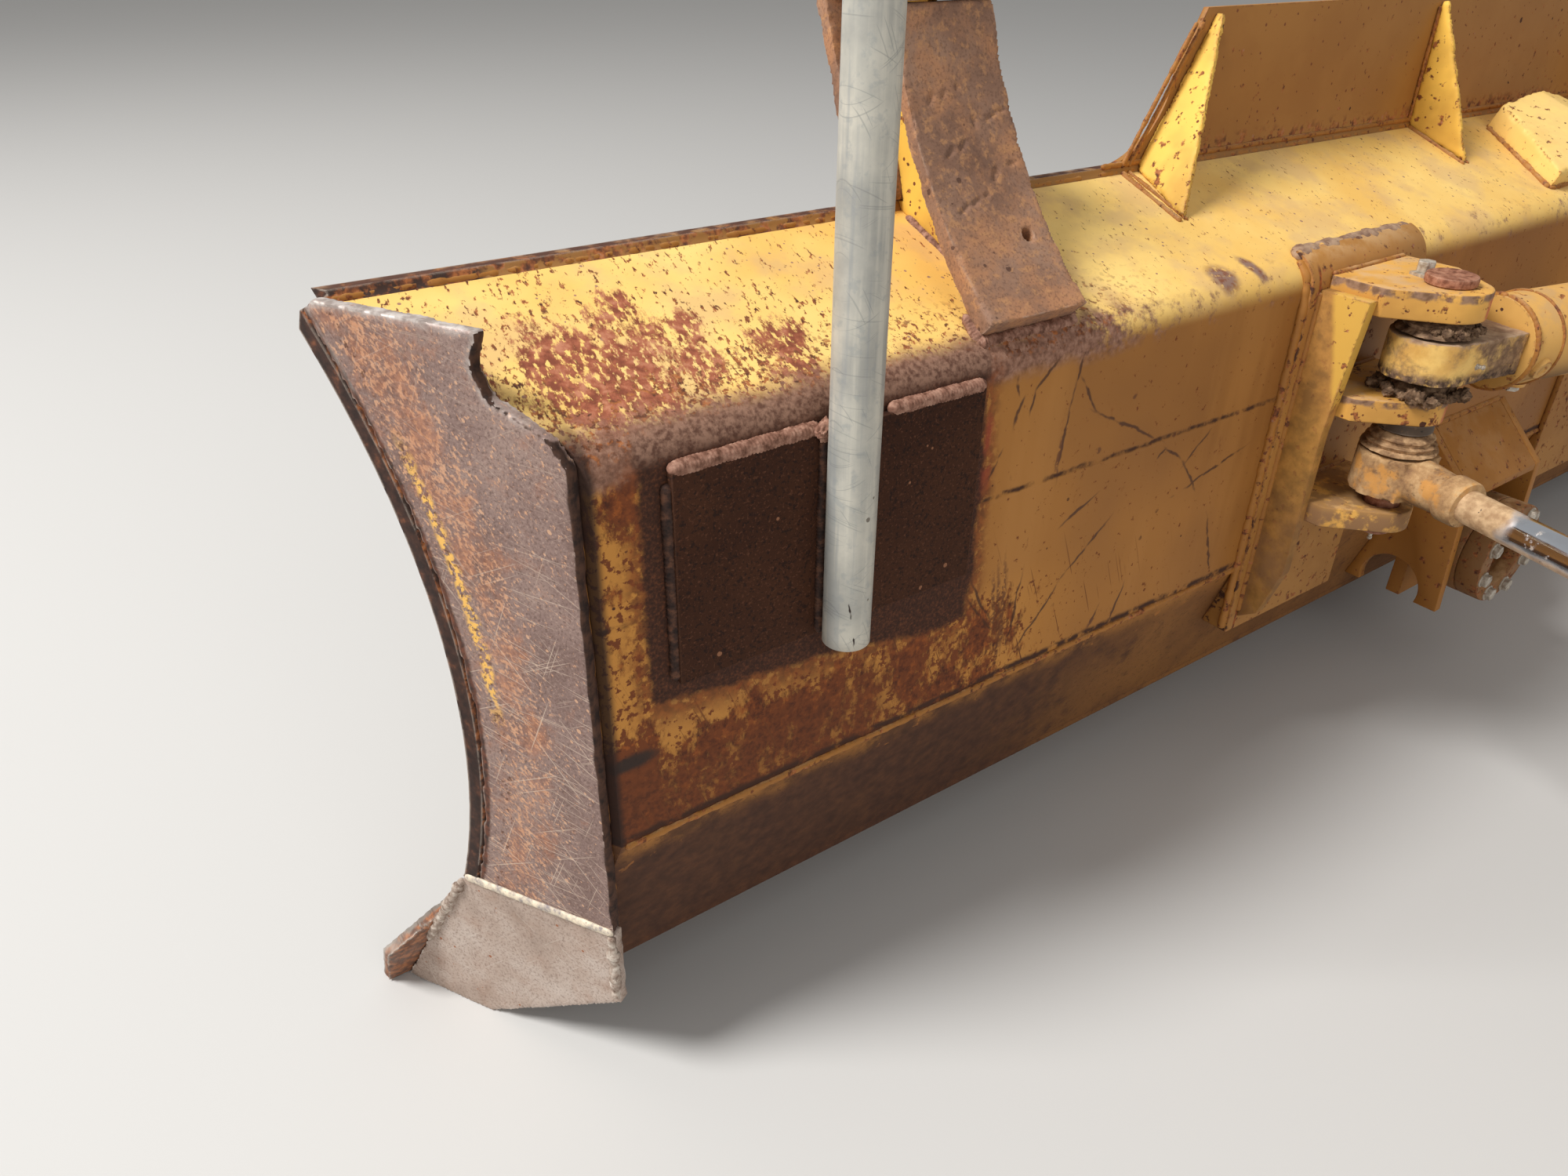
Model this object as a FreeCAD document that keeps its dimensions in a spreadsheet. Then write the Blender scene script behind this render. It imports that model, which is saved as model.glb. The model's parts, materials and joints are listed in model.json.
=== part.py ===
"""Bulldozer blade of the power-angle-tilt kind, with its tilt and angle cylinders.

Millimetres. Everything is drawn from the blade's centre line (X), the rear wall's face (Y, forward)
and the ground (Z, up), and then seated so that the origin is the centre of the ball socket.
"""
import FreeCAD
import Part
import math
import os
from types import SimpleNamespace

import Sketcher
from FreeCAD import Placement, Rotation, Vector

# Driving dimensions: name, millimetres or degrees, what it measures.
DIMENSIONS = (
    ("half_width", 1980, "centre line to an end plate's outer face, at the rear wall"),
    ("flare", 30, "degrees by which the ends open towards the front"),
    ("ball_back", 120, "ball socket's centre behind the rear wall"),
    ("ball_high", 300, "ball socket's centre above the ground"),
    # moldboard: its rear face is an arc through lip, waist and knee, then straight to the ground
    ("lip_y", 285, "rear face at the top"),
    ("lip_z", 1079, "top of the moldboard"),
    ("waist_y", 156, "rear face where it is deepest"),
    ("waist_z", 600, "height of the deepest point"),
    ("knee_y", 192, "rear face where the arc ends"),
    ("knee_z", 287, "height where the arc ends"),
    ("edge_y", 331, "rear face's line where it meets the ground"),
    ("skin_t", 18, "moldboard's thickness, front to back"),
    ("skin_foot", 90, "moldboard's lower edge above the ground"),
    # cutting edge and end bits, bolted to the front face
    ("edge_t", 25, "thickness, front to back"),
    ("edge_tall", 230, "height"),
    ("edge_half", 1500, "centre line to the joint with an end bit"),
    ("edge_joint", 2, "gap between neighbouring edge pieces"),
    ("edge_split", 500, "centre line to a joint between edge pieces"),
    ("bit_reach", 2212, "centre line to the tip of an end bit"),
    ("bit_tip_tall", 100, "height of an end bit at its tip"),
    ("bit_shoulder", 2080, "centre line to where an end bit starts to fall"),
    # box behind the moldboard
    ("deck_z", 955, "height of the corner of deck and wall"),
    ("deck_slope", 21.8, "degrees by which the deck rises forward"),
    ("bend", 50, "outer radius of the bend of deck and wall"),
    ("wall_t", 12, "thickness of deck and wall"),
    ("seam_z", 425, "lower edge of the wall"),
    ("toe_y", 90, "lower edge of the lower plate, forward of the wall"),
    ("toe_z", 140, "height of that edge"),
    ("floor_t", 12, "thickness of the floor plate"),
    # end plates, measured along their own flared plane
    ("end_t", 18, "thickness"),
    ("end_shoulder", 946, "height of the rear edge"),
    ("end_slant_in", 20, "rear corner above the shoulder"),
    ("end_slant_z", 974, "height of that corner"),
    ("end_step_in", 90, "foot of the ear"),
    ("end_step_z", 1006, "height of the foot of the ear"),
    ("end_ear_in", 106, "narrowest place of the ear"),
    ("end_ear_z", 1037, "height of the narrowest place"),
    ("end_tip_in", 92, "rear tip of the ear"),
    ("end_tip_z", 1075, "height of that tip"),
    ("corner_in", 304, "where the upper front corner starts to be cut off"),
    ("corner_mid_in", 322, "middle of that cut"),
    ("corner_mid_z", 1064, "height of that middle"),
    ("corner_low_in", 331, "front end of the cut"),
    ("corner_low_z", 1036, "height of that end"),
    ("corner_deep", 30, "how far the cut reaches inwards"),
    ("wear_top", 280, "top of the wear insert"),
    ("wear_gap", 3, "weld gap above the insert"),
    ("wear_tail", 146, "height of the insert's rear corner"),
    ("wear_heel", 237, "where the insert's lower edge meets the ground"),
    # masts and their doubler plates
    ("mast_x", 1650, "centre line to a mast"),
    ("mast_r", 30.15, "mast's outer radius"),
    ("mast_wall", 4, "mast's wall"),
    ("mast_foot", 645, "mast's lower end"),
    ("mast_top", 2150, "mast's upper end"),
    ("weld_gap", 0.7, "root gap under a mast's weld"),
    ("pad_t", 12, "doubler plate's thickness"),
    ("pad_out", 1870, "centre line to the plate's outer edge"),
    ("pad_in", 1415, "centre line to its inner edge"),
    ("pad_low", 645, "its lower edge"),
    ("pad_high", 918, "its upper edge"),
    # lifting horns
    ("horn_x", 1315, "centre line to a horn's middle"),
    ("horn_wide", 173, "width of the strap"),
    ("horn_web", 16, "thickness of the web between the straps"),
    ("horn_foot_y", 2, "heel of the rear strap"),
    ("horn_foot_z", 990, "height of the heel"),
    ("horn_back_y", 112, "middle of the rear strap's sweep"),
    ("horn_back_z", 1103, "height of that middle"),
    ("horn_neck_y", 228, "rear strap where the crown starts"),
    ("horn_neck_z", 1330, "height where the crown starts"),
    ("horn_crown_y", 309, "top of the crown"),
    ("horn_crown_z", 1418, "height of the crown"),
    ("horn_nose_y", 390, "front strap where the crown ends"),
    ("horn_front_y", 347, "middle of the front strap's sweep"),
    ("horn_front_z", 1222, "height of that middle"),
    ("horn_toe_y", 299, "front strap's foot"),
    ("horn_t", 24, "thickness of the straps"),
    ("horn_lean", 37, "degrees below level of the thickness at the rear strap's middle"),
    # spill guard on the lip, with its gussets
    ("guard_t", 10, "thickness"),
    ("guard_top", 1300, "height"),
    ("guard_top_half", 705, "centre line to the guard's upper corner"),
    ("guard_knee_half", 765, "centre line to where its edge bends"),
    ("guard_knee_z", 1180, "height of that bend"),
    ("guard_sweep_half", 812, "centre line to the middle of the sweep"),
    ("guard_sweep_z", 1112, "height of the middle of the sweep"),
    ("guard_foot_half", 915, "centre line to the guard's foot"),
    ("gusset_t", 12, "thickness of the gussets"),
    ("gusset_y", 151, "gusset's foot forward of the wall"),
    ("gusset_lean", 32, "degrees by which the outer gussets lean inwards"),
    ("gusset_x", 850, "centre line to an outer gusset where it meets the deck"),
    ("gusset_short", 10, "guard's edge above a gusset's tip"),
    ("gusset_tip", 14, "width of a gusset at its tip"),
    # raised hood on the deck, right of the centre
    ("hood_x", 355, "centre line to the hood's ridge"),
    ("hood_half_rear", 220, "half its width at the rear"),
    ("hood_half_front", 122, "half its width at the front"),
    ("hood_rear", 50, "its rear edge along the deck"),
    ("hood_front", 262, "its front edge along the deck"),
    ("hood_side", 34, "height of its side edge"),
    ("hood_ridge", 72, "height of its ridge"),
    # cylinder brackets
    ("pin_x", 572, "centre line to a bracket pin"),
    ("pin_back", 142, "bracket pin behind the wall"),
    ("pin_r", 28, "bracket pin's radius"),
    ("run_gap", 0.05, "running clearance round a pin or rod"),
    ("pin_low", 520, "pin's lower end"),
    ("head_r", 38, "radius of the pin's head"),
    ("head_t", 16, "thickness of the head"),
    ("lug_half", 106, "half width of the lugs at the wall"),
    ("lug_shoulder", 40, "lug's shoulders, towards the wall from the pin"),
    ("lug_high_z", 900, "upper lug's underside"),
    ("lug_high_t", 45, "upper lug's thickness"),
    ("lug_high_r", 62, "radius of its round end"),
    ("lug_high_turn", 40, "degrees from its widest place back to where that end starts"),
    ("lug_mid_z", 730, "middle lug's underside"),
    ("lug_mid_t", 38, "middle lug's thickness"),
    ("lug_low_z", 538, "lower lug's underside"),
    ("lug_low_t", 37, "lower lug's thickness"),
    ("lug_small_r", 50, "radius of the round ends of the two lower lugs"),
    ("lug_small_turn", 46, "degrees from their widest place back to where those ends start"),
    ("brace_t", 22, "side web's thickness"),
    ("brace_deep", 95, "side web's rear edge behind the wall, at the top"),
    ("brace_top", 925, "side web's upper end"),
    ("brace_waist", 76, "its rear edge behind the wall, further down"),
    ("brace_waist_z", 700, "height where that starts"),
    ("brace_knee_z", 440, "height where the rear edge turns in"),
    ("brace_shin", 47, "its rear edge behind the wall, near the foot"),
    ("brace_shin_z", 342, "height of that place"),
    ("brace_foot", 318, "side web's lower end"),
    ("plate_t", 12, "bracket plate's thickness"),
    ("plate_out", 150, "bracket plate outwards of the pin"),
    ("plate_in", 180, "bracket plate inwards of the pin"),
    ("plate_foot", 290, "bracket plate's lower edge"),
    ("plate_lap", 5, "how far it laps onto the deck past the bend"),
    # ball socket and its housing
    ("ball_r", 66, "socket's spherical radius"),
    ("cup_r", 108, "outer radius of cup and cap"),
    ("cup_split", 0.15, "half of the joint between cup and cap"),
    ("cap_deep", 48, "cap's rear face behind the ball's centre"),
    ("throat_turn", 21, "degrees from the ball's widest place back to the mouth's narrowest"),
    ("neck_flare", 66, "mouth's radius at the cap's rear face"),
    ("backing_t", 30, "thickness of the plate that carries the cup"),
    ("backing_face", 40, "that plate's rear face behind the wall"),
    ("backing_low", 180, "its lower edge"),
    ("cheek_x", 150, "centre line to a cheek's outer face"),
    ("cheek_t", 22, "cheek's thickness"),
    ("cheek_top", 560, "cheek's top corner on the wall"),
    ("cheek_rear_y", 112, "cheek's upper rear corner behind the wall"),
    ("cheek_rear_z", 450, "height of that corner"),
    ("cheek_heel_y", 128, "cheek's lower rear corner behind the wall"),
    ("cheek_heel_z", 190, "height of that corner"),
    ("arch_rear_y", 80, "arch's rear foot behind the wall"),
    ("arch_top_y", 22, "arch's crown behind the wall"),
    ("arch_top_z", 272, "height of the crown"),
    ("arch_front_y", 40, "arch's front foot forward of the wall"),
    ("roof_t", 14, "thickness of the roof between the cheeks"),
    # tilt cylinder, measured from its pin along its own axis
    ("tilt_aim", 11.5, "degrees by which it points away from the wall"),
    ("tilt_z", 835, "height of its axis"),
    ("tilt_eye_r", 66, "radius of the barrel's eye"),
    ("tilt_eye_t", 70, "thickness of the eye"),
    ("tilt_base", 140, "pin to the barrel"),
    ("tilt_root_half", 60, "half width of the eye where it meets the barrel"),
    ("tilt_r", 75, "barrel's outer radius"),
    ("tilt_bore", 60, "barrel's bore radius"),
    ("tilt_end_t", 25, "thickness of the barrel's closed end"),
    ("tilt_long", 500, "barrel's length"),
    ("tilt_gland_r", 79, "gland's radius"),
    ("tilt_gland_long", 48, "gland's length"),
    ("tilt_rod_r", 32, "rod's radius"),
    ("tilt_rod_in", 270, "pin to the rod's hidden end"),
    ("tilt_rod_out", 800, "pin to the rod's weld to its eye"),
    ("tilt_pin", 862, "pin to the rod eye's centre"),
    ("rod_eye_r", 56, "radius of the tilt rod's eye"),
    ("rod_eye_t", 76, "thickness of that eye"),
    ("eye_bore", 28, "bore radius of the free eyes"),
    # angle cylinders, measured from their pins along their own axes
    ("angle_aim", 13.9, "degrees by which they splay outwards from straight back"),
    ("angle_z", 636, "height of their axes"),
    ("angle_eye_r", 62, "radius of the rod's eye"),
    ("angle_eye_t", 74, "thickness of the rod's eye"),
    ("shank_start", 56, "pin to the shank behind the eye"),
    ("shank_end", 150, "pin to where the shank meets the rod"),
    ("shank_root_r", 40, "shank's radius at the eye"),
    ("shank_r", 32, "shank's radius at the rod"),
    ("angle_rod_r", 26.5, "rod's radius"),
    ("angle_rod_in", 860, "pin to the rod's hidden end"),
    ("angle_gland", 560, "pin to the gland"),
    ("angle_gland_long", 42, "gland's length"),
    ("angle_gland_r", 60, "gland's radius"),
    ("angle_r", 56, "barrel's outer radius"),
    ("angle_bore", 46, "barrel's bore radius"),
    ("angle_long", 590, "barrel's length"),
    ("angle_end_t", 22, "thickness of the barrel's closed end"),
    ("angle_pin", 1255, "pin to the base eye's centre"),
    ("base_eye_r", 60, "radius of the base eye"),
    ("base_eye_t", 84, "thickness of the base eye"),
    ("base_root_half", 48, "half width of the base eye where it meets the barrel"),
)

# Room for trimming solids, well outside every piece.
PLAN_BACK = -700
PLAN_FRONT = 700
SKY = 2500
SIDES = ((-1, "l"), (1, "r"))


class Size:
    """A number that keeps its formula in the spreadsheet beside it."""

    def __init__(self, number, formula):
        self.number = number
        self.formula = formula

    def __add__(self, other):
        other = as_size(other)
        return Size(self.number + other.number, f"({self.formula} + {other.formula})")

    def __sub__(self, other):
        other = as_size(other)
        return Size(self.number - other.number, f"({self.formula} - {other.formula})")

    def __mul__(self, other):
        other = as_size(other)
        return Size(self.number * other.number, f"({self.formula} * {other.formula})")

    def __truediv__(self, other):
        other = as_size(other)
        return Size(self.number / other.number, f"({self.formula} / {other.formula})")

    def __neg__(self):
        return Size(-self.number, f"(0 - {self.formula})")

    def __radd__(self, other):
        return as_size(other) + self

    def __rsub__(self, other):
        return as_size(other) - self

    def __rmul__(self, other):
        return as_size(other) * self


def as_size(value):
    return value if isinstance(value, Size) else Size(value, f"({value})")


def sin(angle):
    return Size(math.sin(math.radians(angle.number)), f"sin({angle.formula})")


def cos(angle):
    return Size(math.cos(math.radians(angle.number)), f"cos({angle.formula})")


def tan(angle):
    return sin(angle) / cos(angle)


def make_sheet(document):
    """Writes the driving dimensions into the sheet and returns them by name."""
    sheet = document.addObject("Spreadsheet::Sheet", "Sizes")
    sizes = {}
    for row, (name, number, meaning) in enumerate(DIMENSIONS, start=1):
        sheet.set(f"A{row}", name)
        sheet.set(f"B{row}", str(number))
        sheet.set(f"C{row}", meaning)
        sheet.setAlias(f"B{row}", name)
        sizes[name] = Size(number, f"Sizes.{name}")
    document.recompute()
    return SimpleNamespace(**sizes)


doc = FreeCAD.newDocument("blade")
d = make_sheet(doc)
nodes = []


def bind(thing, path, value):
    thing.setExpression(path, as_size(value).formula)


def via(across, up):
    """A point that the outline's arc passes through between its two neighbours."""
    return (across, up, "via")


def point_of(step):
    return Vector(as_size(step[0]).number, as_size(step[1]).number, 0)


def pin_point(sketch, geometry, end, step, name):
    """Ties one point of a sketch to its two named distances from the origin."""
    for axis, value in zip("XY", step[:2]):
        value = as_size(value)
        row = sketch.addConstraint(Sketcher.Constraint(f"Distance{axis}", geometry, end, value.number))
        sketch.renameConstraint(row, f"{name}_{axis}")
        sketch.setExpression(f"Constraints.{name}_{axis}", value.formula)


def draw(body, role, path, start=0, holes=()):
    """Draws a closed outline of lines and arcs, with round holes, on one of the body's own planes."""
    sketch = body.newObject("Sketcher::SketchObject", body.Name + "_outline")
    plane = [feature for feature in body.Origin.OriginFeatures if feature.Role == role][0]
    sketch.AttachmentSupport = [(plane, "")]
    sketch.MapMode = "FlatFace"
    bind(sketch, "AttachmentOffset.Base.z", start)
    corners = [step for step in path if len(step) == 2]
    ends = []
    for index, step in enumerate(path):
        if len(step) == 3:
            continue
        after = path[(index + 1) % len(path)]
        here = point_of(step)
        if len(after) == 3:
            there = point_of(path[(index + 2) % len(path)])
            middle = point_of(after)
            anticlockwise = (middle - here).cross(there - here).z > 0
            first, last = (here, there) if anticlockwise else (there, here)
            geometry = sketch.addGeometry(Part.Arc(first, middle, last))
            ends.append((geometry, 1, 2) if anticlockwise else (geometry, 2, 1))
            guide = sketch.addGeometry(Part.Point(point_of(after)), True)
            sketch.addConstraint(Sketcher.Constraint("PointOnObject", guide, 1, geometry))
            pin_point(sketch, guide, 1, after, f"via{index}")
        else:
            geometry = sketch.addGeometry(Part.LineSegment(here, point_of(after)))
            ends.append((geometry, 1, 2))
    for index, corner in enumerate(corners):
        geometry, first, _ = ends[index]
        before, _, last = ends[index - 1]
        sketch.addConstraint(Sketcher.Constraint("Coincident", before, last, geometry, first))
        pin_point(sketch, geometry, first, corner, f"corner{index}")
    for index, (across, up, radius) in enumerate(holes):
        centre = point_of((across, up))
        circle = sketch.addGeometry(Part.Circle(centre, Vector(0, 0, 1), as_size(radius).number))
        pin_point(sketch, circle, 3, (across, up), f"hole{index}")
        row = sketch.addConstraint(Sketcher.Constraint("Radius", circle, as_size(radius).number))
        sketch.renameConstraint(row, f"hole{index}_radius")
        bind(sketch, f"Constraints.hole{index}_radius", radius)
    return sketch


def prism(name, role, path, length, start=0, holes=(), centred=False):
    """A body with one padded outline; YZ pads run along +X, XY along +Z and XZ along -Y."""
    body = doc.addObject("PartDesign::Body", name)
    pad = body.newObject("PartDesign::Pad", name + "_pad")
    pad.Profile = draw(body, role, path, start, holes)
    bind(pad, "Length", length)
    if centred:
        pad.SideType = "Symmetric"
    return body


def turned(name, path, role="XY_Plane"):
    """A body turned about its own X axis from a half outline drawn above that axis."""
    body = doc.addObject("PartDesign::Body", name)
    turn = body.newObject("PartDesign::Revolution", name + "_turn")
    sketch = draw(body, role, path)
    turn.Profile = sketch
    turn.ReferenceAxis = (sketch, ["H_Axis"])
    turn.Angle = 360
    return body


def boolean(kind, name, base, tool):
    result = doc.addObject(f"Part::{kind}", name)
    result.Base = base
    result.Tool = tool
    return result


def gather(name, shapes):
    result = doc.addObject("Part::Compound", name)
    result.Links = shapes
    return result


def place(thing, x=0, y=0, z=0, axis=Vector(0, 0, 1), angle=0):
    """Puts a piece at named distances, turned by a named angle."""
    thing.Placement = Placement(Vector(0, 0, 0), Rotation(axis, as_size(angle).number))
    for letter, value in zip("xyz", (x, y, z)):
        bind(thing, f"Placement.Base.{letter}", value)
    if as_size(angle).number:
        bind(thing, "Placement.Rotation.Angle", angle)
    return thing


def node(name, thing, x=0, y=0, z=0, angle=0):
    """Makes a piece a sub-part: labels it and seats it in the ball socket's frame."""
    place(thing, x, y + d.ball_back, z - d.ball_high, angle=angle)
    thing.Label = name
    nodes.append(thing)
    return thing


# Shapes that several pieces share.

def rear_face(height, forward=0):
    """How far forward the straight lower part of the moldboard's rear face is at a height."""
    return d.edge_y - (d.edge_y - d.knee_y) * height / d.knee_z + forward


def deck(forward):
    """Height of the deck's upper face at a distance forward of the wall."""
    return d.deck_z + forward * tan(d.deck_slope)


def bend_points(radius):
    """Where the bend of a given radius leaves the wall, its middle, and where it meets the deck."""
    turn = 90 - d.deck_slope
    low = d.deck_z - d.bend * tan(turn / 2)
    points = []
    for angle in (as_size(0), turn / 2, turn):
        points.append((d.bend - radius * cos(angle), low + radius * sin(angle)))
    return points


def trapezoid(half_rear):
    """Plan of all that lies between the flared ends, from well behind to well in front."""
    spread = tan(d.flare)
    rear = half_rear + PLAN_BACK * spread
    front = half_rear + PLAN_FRONT * spread
    return [(-rear, PLAN_BACK), (rear, PLAN_BACK), (front, PLAN_FRONT), (-front, PLAN_FRONT)]


def between_ends(name, half_rear):
    return prism(name, "XY_Plane", trapezoid(half_rear), SKY)


inner_half = d.half_width - d.end_t / cos(d.flare)
within_plates = between_ends("within_plates", inner_half)
within_faces = between_ends("within_faces", d.half_width)


def ahead_of(name, forward):
    """All that lies in front of the moldboard's rear face, or of a copy moved forward."""
    lip = d.lip_y + forward
    return prism(name, "YZ_Plane", [
        (lip, SKY), (lip, d.lip_z), via(d.waist_y + forward, d.waist_z), (d.knee_y + forward, d.knee_z),
        (rear_face(PLAN_BACK, forward), PLAN_BACK), (SKY, PLAN_BACK), (SKY, SKY)], 3 * SKY, centred=True)


ahead = ahead_of("ahead_of_rear_face", 0)
ahead_of_front = ahead_of("ahead_of_front_face", d.skin_t)

bend_low, bend_mid, bend_top = bend_points(d.bend)
behind_box = prism("box_outline", "YZ_Plane", [
    (0, 0), bend_low, via(*bend_mid), bend_top, (d.lip_y, deck(d.lip_y)), (d.lip_y, 0)],
    3 * SKY, centred=True)

curved_skin = prism("curved_skin", "YZ_Plane", [
    (d.lip_y, d.lip_z), via(d.waist_y, d.waist_z), (d.knee_y, d.knee_z),
    (rear_face(d.skin_foot), d.skin_foot), (rear_face(d.skin_foot, d.skin_t), d.skin_foot),
    (d.knee_y + d.skin_t, d.knee_z), via(d.waist_y + d.skin_t, d.waist_z),
    (d.lip_y + d.skin_t, d.lip_z)], 3 * SKY, centred=True)


# Pieces that stand on the flared plane of one end.

def on_flare(name, side, path, thick, proud=0):
    """A flat piece from a little proud of the outer face to a depth behind it."""
    blank = prism(name, "YZ_Plane", path, thick + proud, -proud if side < 0 else -thick)
    return place(blank, x=side * d.half_width, angle=-side * d.flare)


def corner_cut(name, side):
    """What is worn off the upper front corner of an end."""
    return on_flare(name, side, [
        (d.corner_in, SKY), (d.corner_in, d.lip_z), (d.corner_mid_in, d.corner_mid_z),
        (d.corner_low_in, d.corner_low_z), (SKY, d.corner_low_z), (SKY, SKY)], d.corner_deep, d.end_t)


def wear_path():
    beyond = d.edge_y / cos(d.flare) + 3 * d.skin_t
    return [(0, d.wear_top), (0, d.wear_tail), (d.wear_heel, 0), (beyond, 0), (beyond, d.wear_top)]


# Moldboard, cutting edge and end bits.

def moldboard():
    taken = []
    for side, tag in SIDES:
        taken.append(on_flare(f"wear_seat_{tag}", side, wear_path(), d.end_t, d.end_t))
        taken.append(corner_cut(f"lip_corner_{tag}", side))
    whole = boolean("Common", "moldboard_whole", curved_skin, within_faces)
    node("moldboard", boolean("Cut", "moldboard", whole, gather("moldboard_ends", taken)))


def edge_section():
    back = d.skin_t
    front = d.skin_t + d.edge_t
    tall = d.edge_tall
    return [(rear_face(0, back), 0), (rear_face(0, front), 0),
            (rear_face(tall, front), tall), (rear_face(tall, back), tall)]


def cutting_edge():
    middle = 2 * d.edge_split - d.edge_joint
    outer = d.edge_half - d.edge_split - d.edge_joint
    start = d.edge_split + d.edge_joint / 2
    pieces = []
    for word, low, long in (("l", -start - outer, outer), ("m", -middle / 2, middle), ("r", start, outer)):
        pieces.append(prism(f"edge_{word}", "YZ_Plane", edge_section(), long, low))
    node("cutting_edge", gather("cutting_edge", pieces))


def end_bit(side, tag):
    start = d.edge_half + d.edge_joint / 2
    long = d.bit_reach - start
    blank = prism(f"bit_blank_{tag}", "YZ_Plane", edge_section(), long, start if side > 0 else -d.bit_reach)
    front = prism(f"bit_front_{tag}", "XZ_Plane", [
        (side * start, 0), (side * d.bit_reach, 0), (side * d.bit_reach, d.bit_tip_tall),
        (side * d.bit_shoulder, d.edge_tall), (side * start, d.edge_tall)], 2 * PLAN_FRONT, centred=True)
    node(f"end_bit_{tag}", boolean("Common", f"end_bit_{tag}", blank, front))


# Box behind the moldboard.

def rear_skin():
    thin = bend_points(d.bend - d.wall_t)
    inner_deck = deck(d.lip_y) - d.wall_t / cos(d.deck_slope)
    skin = prism("rear_skin_blank", "YZ_Plane", [
        (0, d.seam_z), bend_low, via(*bend_mid), bend_top, (d.lip_y, deck(d.lip_y)),
        (d.lip_y, inner_deck), thin[2], via(*thin[1]), thin[0], (d.wall_t, d.seam_z)],
        3 * SKY, centred=True)
    trimmed = boolean("Cut", "rear_skin_trimmed", skin, ahead)
    node("rear_skin", boolean("Common", "rear_skin", trimmed, within_plates))


def lower_plate():
    plate = prism("lower_plate_blank", "YZ_Plane", [
        (0, d.seam_z), (d.wall_t, d.seam_z), (d.toe_y + d.wall_t, d.toe_z), (d.toe_y, d.toe_z)],
        3 * SKY, centred=True)
    node("lower_plate", boolean("Common", "lower_plate", plate, within_plates))


def floor_plate():
    plate = prism("floor_plate_blank", "YZ_Plane", [
        (d.toe_y, d.toe_z), (d.edge_y, d.toe_z), (d.edge_y, d.toe_z - d.floor_t),
        (d.toe_y, d.toe_z - d.floor_t)], 3 * SKY, centred=True)
    trimmed = boolean("Cut", "floor_plate_trimmed", plate, ahead)
    node("floor_plate", boolean("Common", "floor_plate", trimmed, within_plates))


# End plates, each a flat plate flared outwards, with a wear insert let into its lower end.

def end_plate(side, tag):
    seam = d.wear_top + d.wear_gap
    beyond = d.lip_y / cos(d.flare) + d.skin_t
    path = [(0, seam), (0, d.end_shoulder), (d.end_slant_in, d.end_slant_z),
            (d.end_step_in, d.end_step_z), (d.end_ear_in, d.end_ear_z), (d.end_tip_in, d.end_tip_z),
            (beyond, d.lip_z), (beyond, seam)]
    blank = on_flare(f"end_plate_blank_{tag}", side, path, d.end_t)
    fitted = boolean("Cut", f"end_plate_fitted_{tag}", blank, ahead)
    node(f"end_plate_{tag}", boolean("Cut", f"end_plate_{tag}", fitted, corner_cut(f"plate_corner_{tag}", side)))


def end_wear(side, tag):
    blank = on_flare(f"end_wear_blank_{tag}", side, wear_path(), d.end_t)
    node(f"end_wear_{tag}", boolean("Cut", f"end_wear_{tag}", blank, ahead_of_front))


# Masts: open pipes welded to doubler plates on the wall.

def mast_plate(side, tag):
    plate = doc.addObject("Part::Box", f"mast_plate_{tag}")
    bind(plate, "Length", d.pad_out - d.pad_in)
    bind(plate, "Width", d.pad_t)
    bind(plate, "Height", d.pad_high - d.pad_low)
    left = d.pad_in if side > 0 else -d.pad_out
    node(f"mast_plate_{tag}", plate, x=left, y=-d.pad_t, z=d.pad_low)


def mast(side, tag):
    outside = doc.addObject("Part::Cylinder", f"mast_outside_{tag}")
    inside = doc.addObject("Part::Cylinder", f"mast_inside_{tag}")
    for tube, radius in ((outside, d.mast_r), (inside, d.mast_r - d.mast_wall)):
        bind(tube, "Radius", radius)
        bind(tube, "Height", d.mast_top - d.mast_foot)
    pipe = boolean("Cut", f"mast_{tag}", outside, inside)
    back = d.pad_t + d.weld_gap + d.mast_r
    node(f"mast_{tag}", pipe, x=side * d.mast_x, y=-back, z=d.mast_foot)


# Lifting horns: a curved strap up from the bend, over a crown and down to the lip, with a web inside.

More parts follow.
